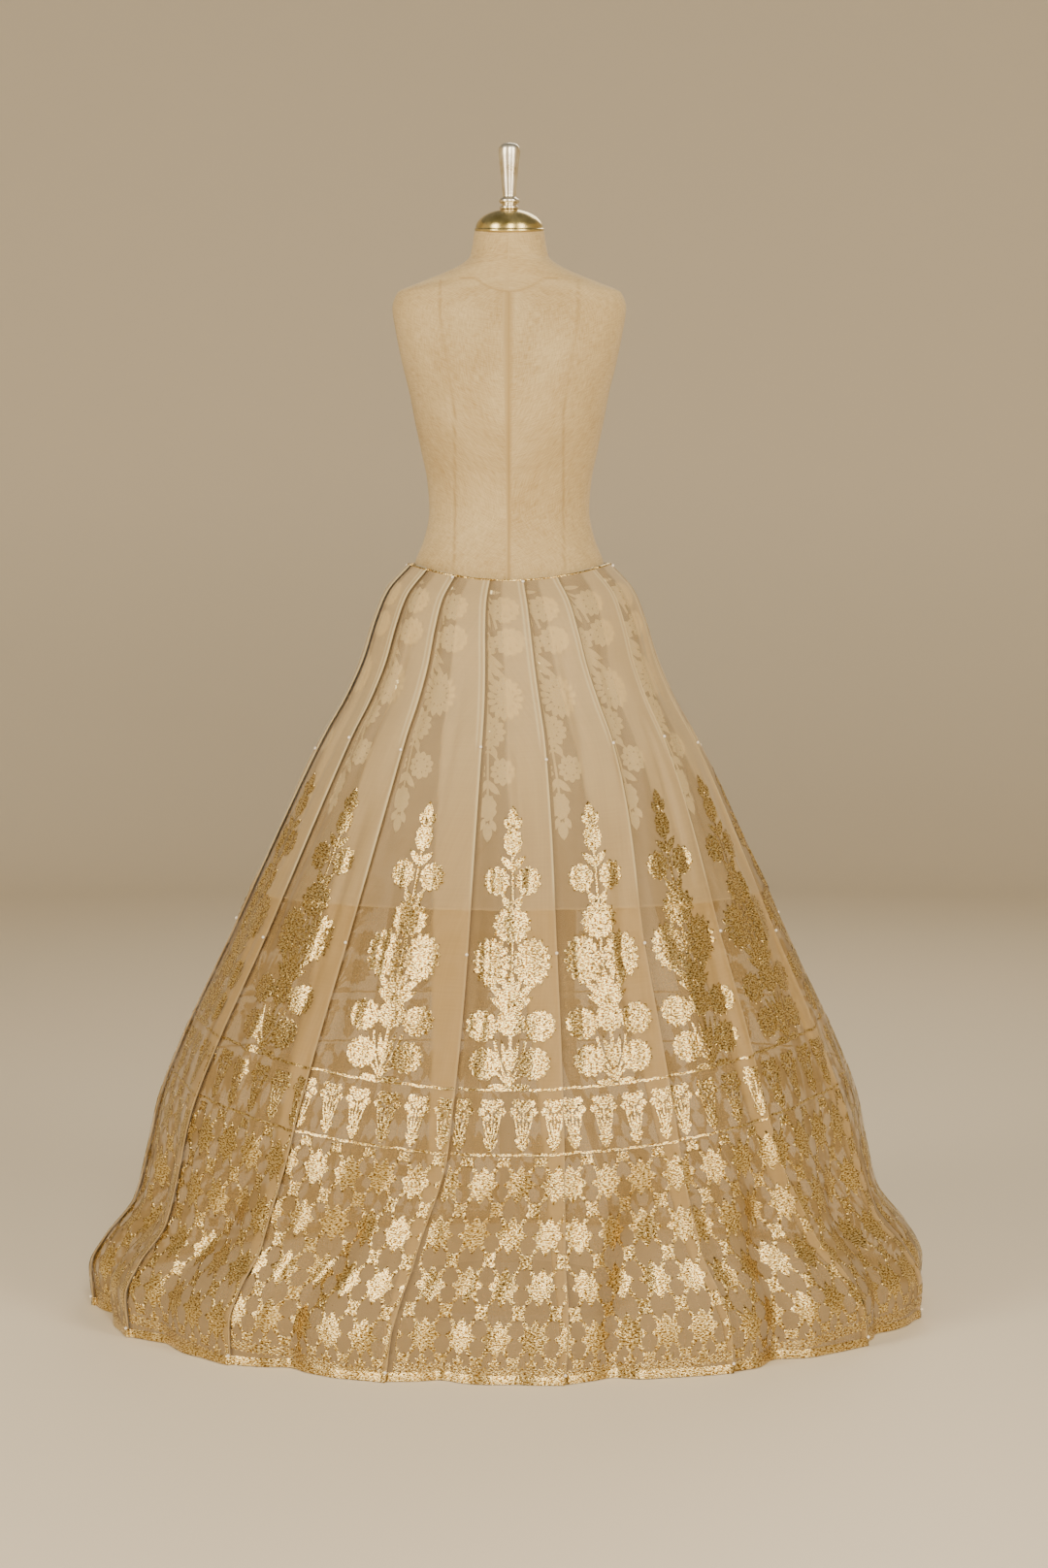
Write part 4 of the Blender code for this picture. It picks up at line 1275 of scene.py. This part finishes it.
class LEHENGA_OT_pins(Operator):
    """Set the pearl-headed pins that hold the folds"""

    bl_idname = "lehenga.pins"
    bl_label = "Pearl pins"

    def execute(self, context):
        radius = sizes().pin_radius
        centres = []
        for fold, tiers in enumerate(PIN_TIERS):
            waist = (PIN_WAIST,) if fold in WAIST_PINNED else ()
            for pleat in (fold - 1, fold + len(FOLDS) - 1):
                for height in (*tiers, PIN_FOOT, *waist):
                    centres.append(skirt_point(pleat, 1.0, height, radius * 0.8))
        centres = np.array(centres)[:, None, None, :]
        around = round_turn(12)[None, :]
        down = np.linspace(0.02, pi - 0.02, 8)[:, None]
        ball = radius * np.stack([np.sin(down) * np.cos(around), np.sin(down) * np.sin(around),
                                  np.cos(down) + 0.0 * around], axis=-1)
        corners = copied_corners(grid_corners(*ball.shape[:2], closed=True),
                                 ball[..., 0].size, len(centres))
        piece = make_mesh("pearl_pins", centres + ball[None], corners)
        finish_piece(piece, shared_material("pearl_plastic", pearl, "pearl"))
        return {"FINISHED"}


def torso_surface(heights, angles, groove):
    """The form: at each height a superellipse with its own front and back depth, with
    seams sunk as narrow grooves. Returns points and how much of a seam each is."""
    z = heights[:, None]
    turn = angles[None, :]
    wide, front, back, fullness = (smooth_curve(z, TORSO[:, 0], TORSO[:, field])
                                   for field in range(1, 5))
    power = 2.0 / fullness
    across = np.sign(np.sin(turn)) * np.abs(np.sin(turn)) ** power
    forward = np.sign(np.cos(turn)) * np.abs(np.cos(turn)) ** power
    x = across * wide
    y = -forward * (front * smoothstep(forward * 4.0 + 0.5)
                    + back * (1.0 - smoothstep(forward * 4.0 + 0.5)))

    def groove_at(distance):
        return np.exp(-(distance / SEAM_HALF) ** 2)

    seam = groove_at(x) + groove_at(np.abs(x) - smooth_curve(z, *LONG_SEAMS))
    seam = seam + groove_at(y) * (np.abs(across) > 0.7)
    bow = 1.0 - np.clip(np.abs(x) / NECK_SEAM_REACH, 0, 1) ** 2
    neck = NECK_SEAM + np.where(y < 0.0, -NECK_SEAM_DIP, NECK_SEAM_RISE) * bow
    seam = seam * (z < neck - 0.001) + groove_at(z - neck) * (np.abs(x) < 0.075)
    seam = np.clip(seam, 0.0, 1.0)
    length = np.maximum(np.hypot(x, y), 1e-6)
    x, y = x - groove * seam * x / length, y - groove * seam * y / length
    lean = np.clip((z - NECK_TILT_START) / (NECK_TOP - NECK_TILT_START), 0.0, 1.0)
    return np.stack([x, y, z + NECK_TILT * lean * y], axis=-1), seam


class LEHENGA_OT_form(Operator):
    """Make the linen-covered torso and give its stand a finish"""

    bl_idname = "lehenga.form"
    bl_label = "Dress form"

    def execute(self, context):
        heights = np.concatenate([np.linspace(NECK_TOP, TORSO_FINE, 90),
                                  np.linspace(TORSO_FINE, TORSO[0, 0], 90)[1:]])
        points, seam = torso_surface(heights, round_turn(192), sizes().seam_depth)
        top, foot = (end * 0.0 + end.mean(axis=1, keepdims=True)
                     for end in (points[:1], points[-1:]))
        piece = grid_mesh("form_linen", np.concatenate([top, points, foot]),
                          fold_edge=0.85 * np.pad(seam, ((1, 1), (0, 0))))
        finish = shared_material("unbleached_linen", linen, "linen_light", "linen_dark")
        finish_piece(piece, finish, ["form_torso"])
        steel = shared_material("powder_coated_steel", painted_steel, "steel")
        for node in ("form_pole", "form_socket", "form_base"):
            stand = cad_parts[node]
            stand.data.materials.clear()
            stand.data.materials.append(steel)
        return {"FINISHED"}


def turned_piece(name, outline_points, lean=0.0, lean_end=0.0):
    """A turned piece from (height, radius) rows upwards. Its lower end can lean with
    the neck, less and less up to lean_end."""
    turn = round_turn(96)[None, :]
    height, radius = outline_points[::-1, 0][:, None], outline_points[::-1, 1][:, None]
    y = -radius * np.cos(turn)
    share = np.clip((lean_end - height) / (lean_end - outline_points[0, 0]), 0.0, 1.0)
    points = np.stack([radius * np.sin(turn), y, height + lean * share * y], axis=-1)
    return make_mesh(name, points, grid_corners(*points.shape[:2], closed=True))


class LEHENGA_OT_cap(Operator):
    """Make the spun metal neck cap and its turned handle"""

    bl_idname = "lehenga.cap"
    bl_label = "Cap and handle"

    def execute(self, context):
        brass = shared_material("lacquered_spun_brass", spun_metal, "cap", "cap_dark",
                                roughness=0.24)
        nickel = shared_material("champagne_turned_nickel", spun_metal, "handle",
                                 "handle_dark", roughness=0.28)
        rise = CAP_HEIGHT - CAP_RIM
        turn = np.linspace(0.0, pi / 2.0, 20)
        dome = np.column_stack([CAP_SEAT + CAP_RIM + rise * np.sin(turn),
                                (CAP_RADIUS - 0.0006) * np.cos(turn)])
        rim = RIM_OUTLINE + np.array([CAP_SEAT, CAP_RADIUS])
        piece = turned_piece("cap_dome", np.concatenate([rim, dome]), NECK_TILT,
                             CAP_SEAT + CAP_HEIGHT)
        finish_piece(piece, brass, ["form_neck_cap"])
        seat = CAP_SEAT + CAP_RIM + rise * np.sin(0.5 * pi * 6.0 / 7.0) + 0.0003
        fine = np.linspace(0.0, HANDLE[-1, 0], 120)
        profile = np.column_stack([seat + fine, smooth_curve(fine, HANDLE[:, 0], HANDLE[:, 1])])
        piece = turned_piece("cap_handle", np.concatenate([
            [(seat, 0.0)], profile, [(seat + HANDLE[-1, 0], 0.0)]]))
        finish_piece(piece, nickel, ["form_finial"])
        return {"FINISHED"}


def softbox(name, turn, rise, away, size, power):
    """An oblong area light that looks at the skirt's middle and isn't seen itself. Its
    tilt from straight down is a quarter turn less its rise."""
    light = bpy.data.lights.new(name, "AREA")
    light.shape, light.energy, light.color = "RECTANGLE", power, LIGHT_COLOUR
    light.size, light.size_y = size
    lamp = bpy.data.objects.new(name, light)
    turn, rise = radians(turn), radians(rise)
    level = away * cos(rise)
    lamp.location = (level * sin(turn), -level * cos(turn), AIM_HEIGHT + away * sin(rise))
    lamp.rotation_euler = (pi / 2.0 - rise, 0.0, turn)
    lamp.visible_camera = False
    bpy.context.scene.collection.objects.link(lamp)


class LEHENGA_OT_stage(Operator):
    """Set the floor with its round cove, the lights and the camera"""

    bl_idname = "lehenga.stage"
    bl_label = "Stage"

    def execute(self, context):
        turn = np.linspace(0.0, pi / 2.0, 16)
        profile = np.concatenate([
            [(0.0, 0.001), (0.0, 2.0), (0.0, 4.0)],
            np.column_stack([COVE_BEND * (1.0 - np.cos(turn)),
                             COVE_FLOOR + COVE_BEND * np.sin(turn)]),
            [(COVE_HEIGHT, COVE_FLOOR + COVE_BEND)]])
        cove = turned_piece("studio_cove", profile[::-1])
        finish, _, _ = new_material("painted_studio_floor", {
            "Base Color": (*colours().floor, 1.0), "Roughness": 0.55})
        cove.data.materials.append(finish)
        for values in SOFTBOXES:
            softbox(*values)
        world = bpy.data.worlds.new("studio")
        world.use_nodes = True
        background = world.node_tree.nodes["Background"]
        background.inputs["Color"].default_value = WORLD_COLOUR
        background.inputs["Strength"].default_value = WORLD_STRENGTH
        bpy.context.scene.world = world
        camera = bpy.data.cameras.new("camera")
        camera.lens, camera.sensor_width, camera.sensor_fit = CAMERA_LENS, SENSOR, "AUTO"
        seen = bpy.data.objects.new("camera", camera)
        seen.location = CAMERA_PLACE
        seen.rotation_euler = (radians(90.0 - CAMERA_DOWN), 0.0, 0.0)
        bpy.context.scene.collection.objects.link(seen)
        bpy.context.scene.camera = seen
        return {"FINISHED"}


class LEHENGA_OT_declare(Operator):
    """An empty step: it does nothing and returns at once"""

    bl_idname = "lehenga.declare"
    bl_label = "Declare the sheets"

    def execute(self, context):
        return {"FINISHED"}


class LEHENGA_PT_panel(Panel):
    """The skirt's pieces in the sidebar"""

    bl_idname = "LEHENGA_PT_panel"
    bl_label = "Lehenga skirt"
    bl_space_type = "VIEW_3D"
    bl_region_type = "UI"
    bl_category = "Lehenga"

    def draw(self, context):
        for group in (context.scene.lehenga_sizes, context.scene.lehenga_colours):
            for name in group.__annotations__:
                self.layout.prop(group, name)
        for step in STEPS:
            self.layout.operator(step.bl_idname)


STEPS = (LEHENGA_OT_stage, LEHENGA_OT_cloth, LEHENGA_OT_inner_ply, LEHENGA_OT_tall_motifs,
         LEHENGA_OT_band, LEHENGA_OT_lattice, LEHENGA_OT_edges, LEHENGA_OT_pins,
         LEHENGA_OT_form, LEHENGA_OT_cap, LEHENGA_OT_declare)
CLASSES = (LehengaSizes, LehengaColours, *STEPS, LEHENGA_PT_panel)


def register():
    for each in CLASSES:
        bpy.utils.register_class(each)
    bpy.types.Scene.lehenga_sizes = PointerProperty(type=LehengaSizes)
    bpy.types.Scene.lehenga_colours = PointerProperty(type=LehengaColours)


def unregister():
    del bpy.types.Scene.lehenga_colours
    del bpy.types.Scene.lehenga_sizes
    for each in reversed(CLASSES):
        bpy.utils.unregister_class(each)


def main():
    """Register the add-on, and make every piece."""
    register()
    for step in STEPS:
        group, name = step.bl_idname.split(".")
        getattr(getattr(bpy.ops, group), name)()


if __name__ == "__main__":
    main()
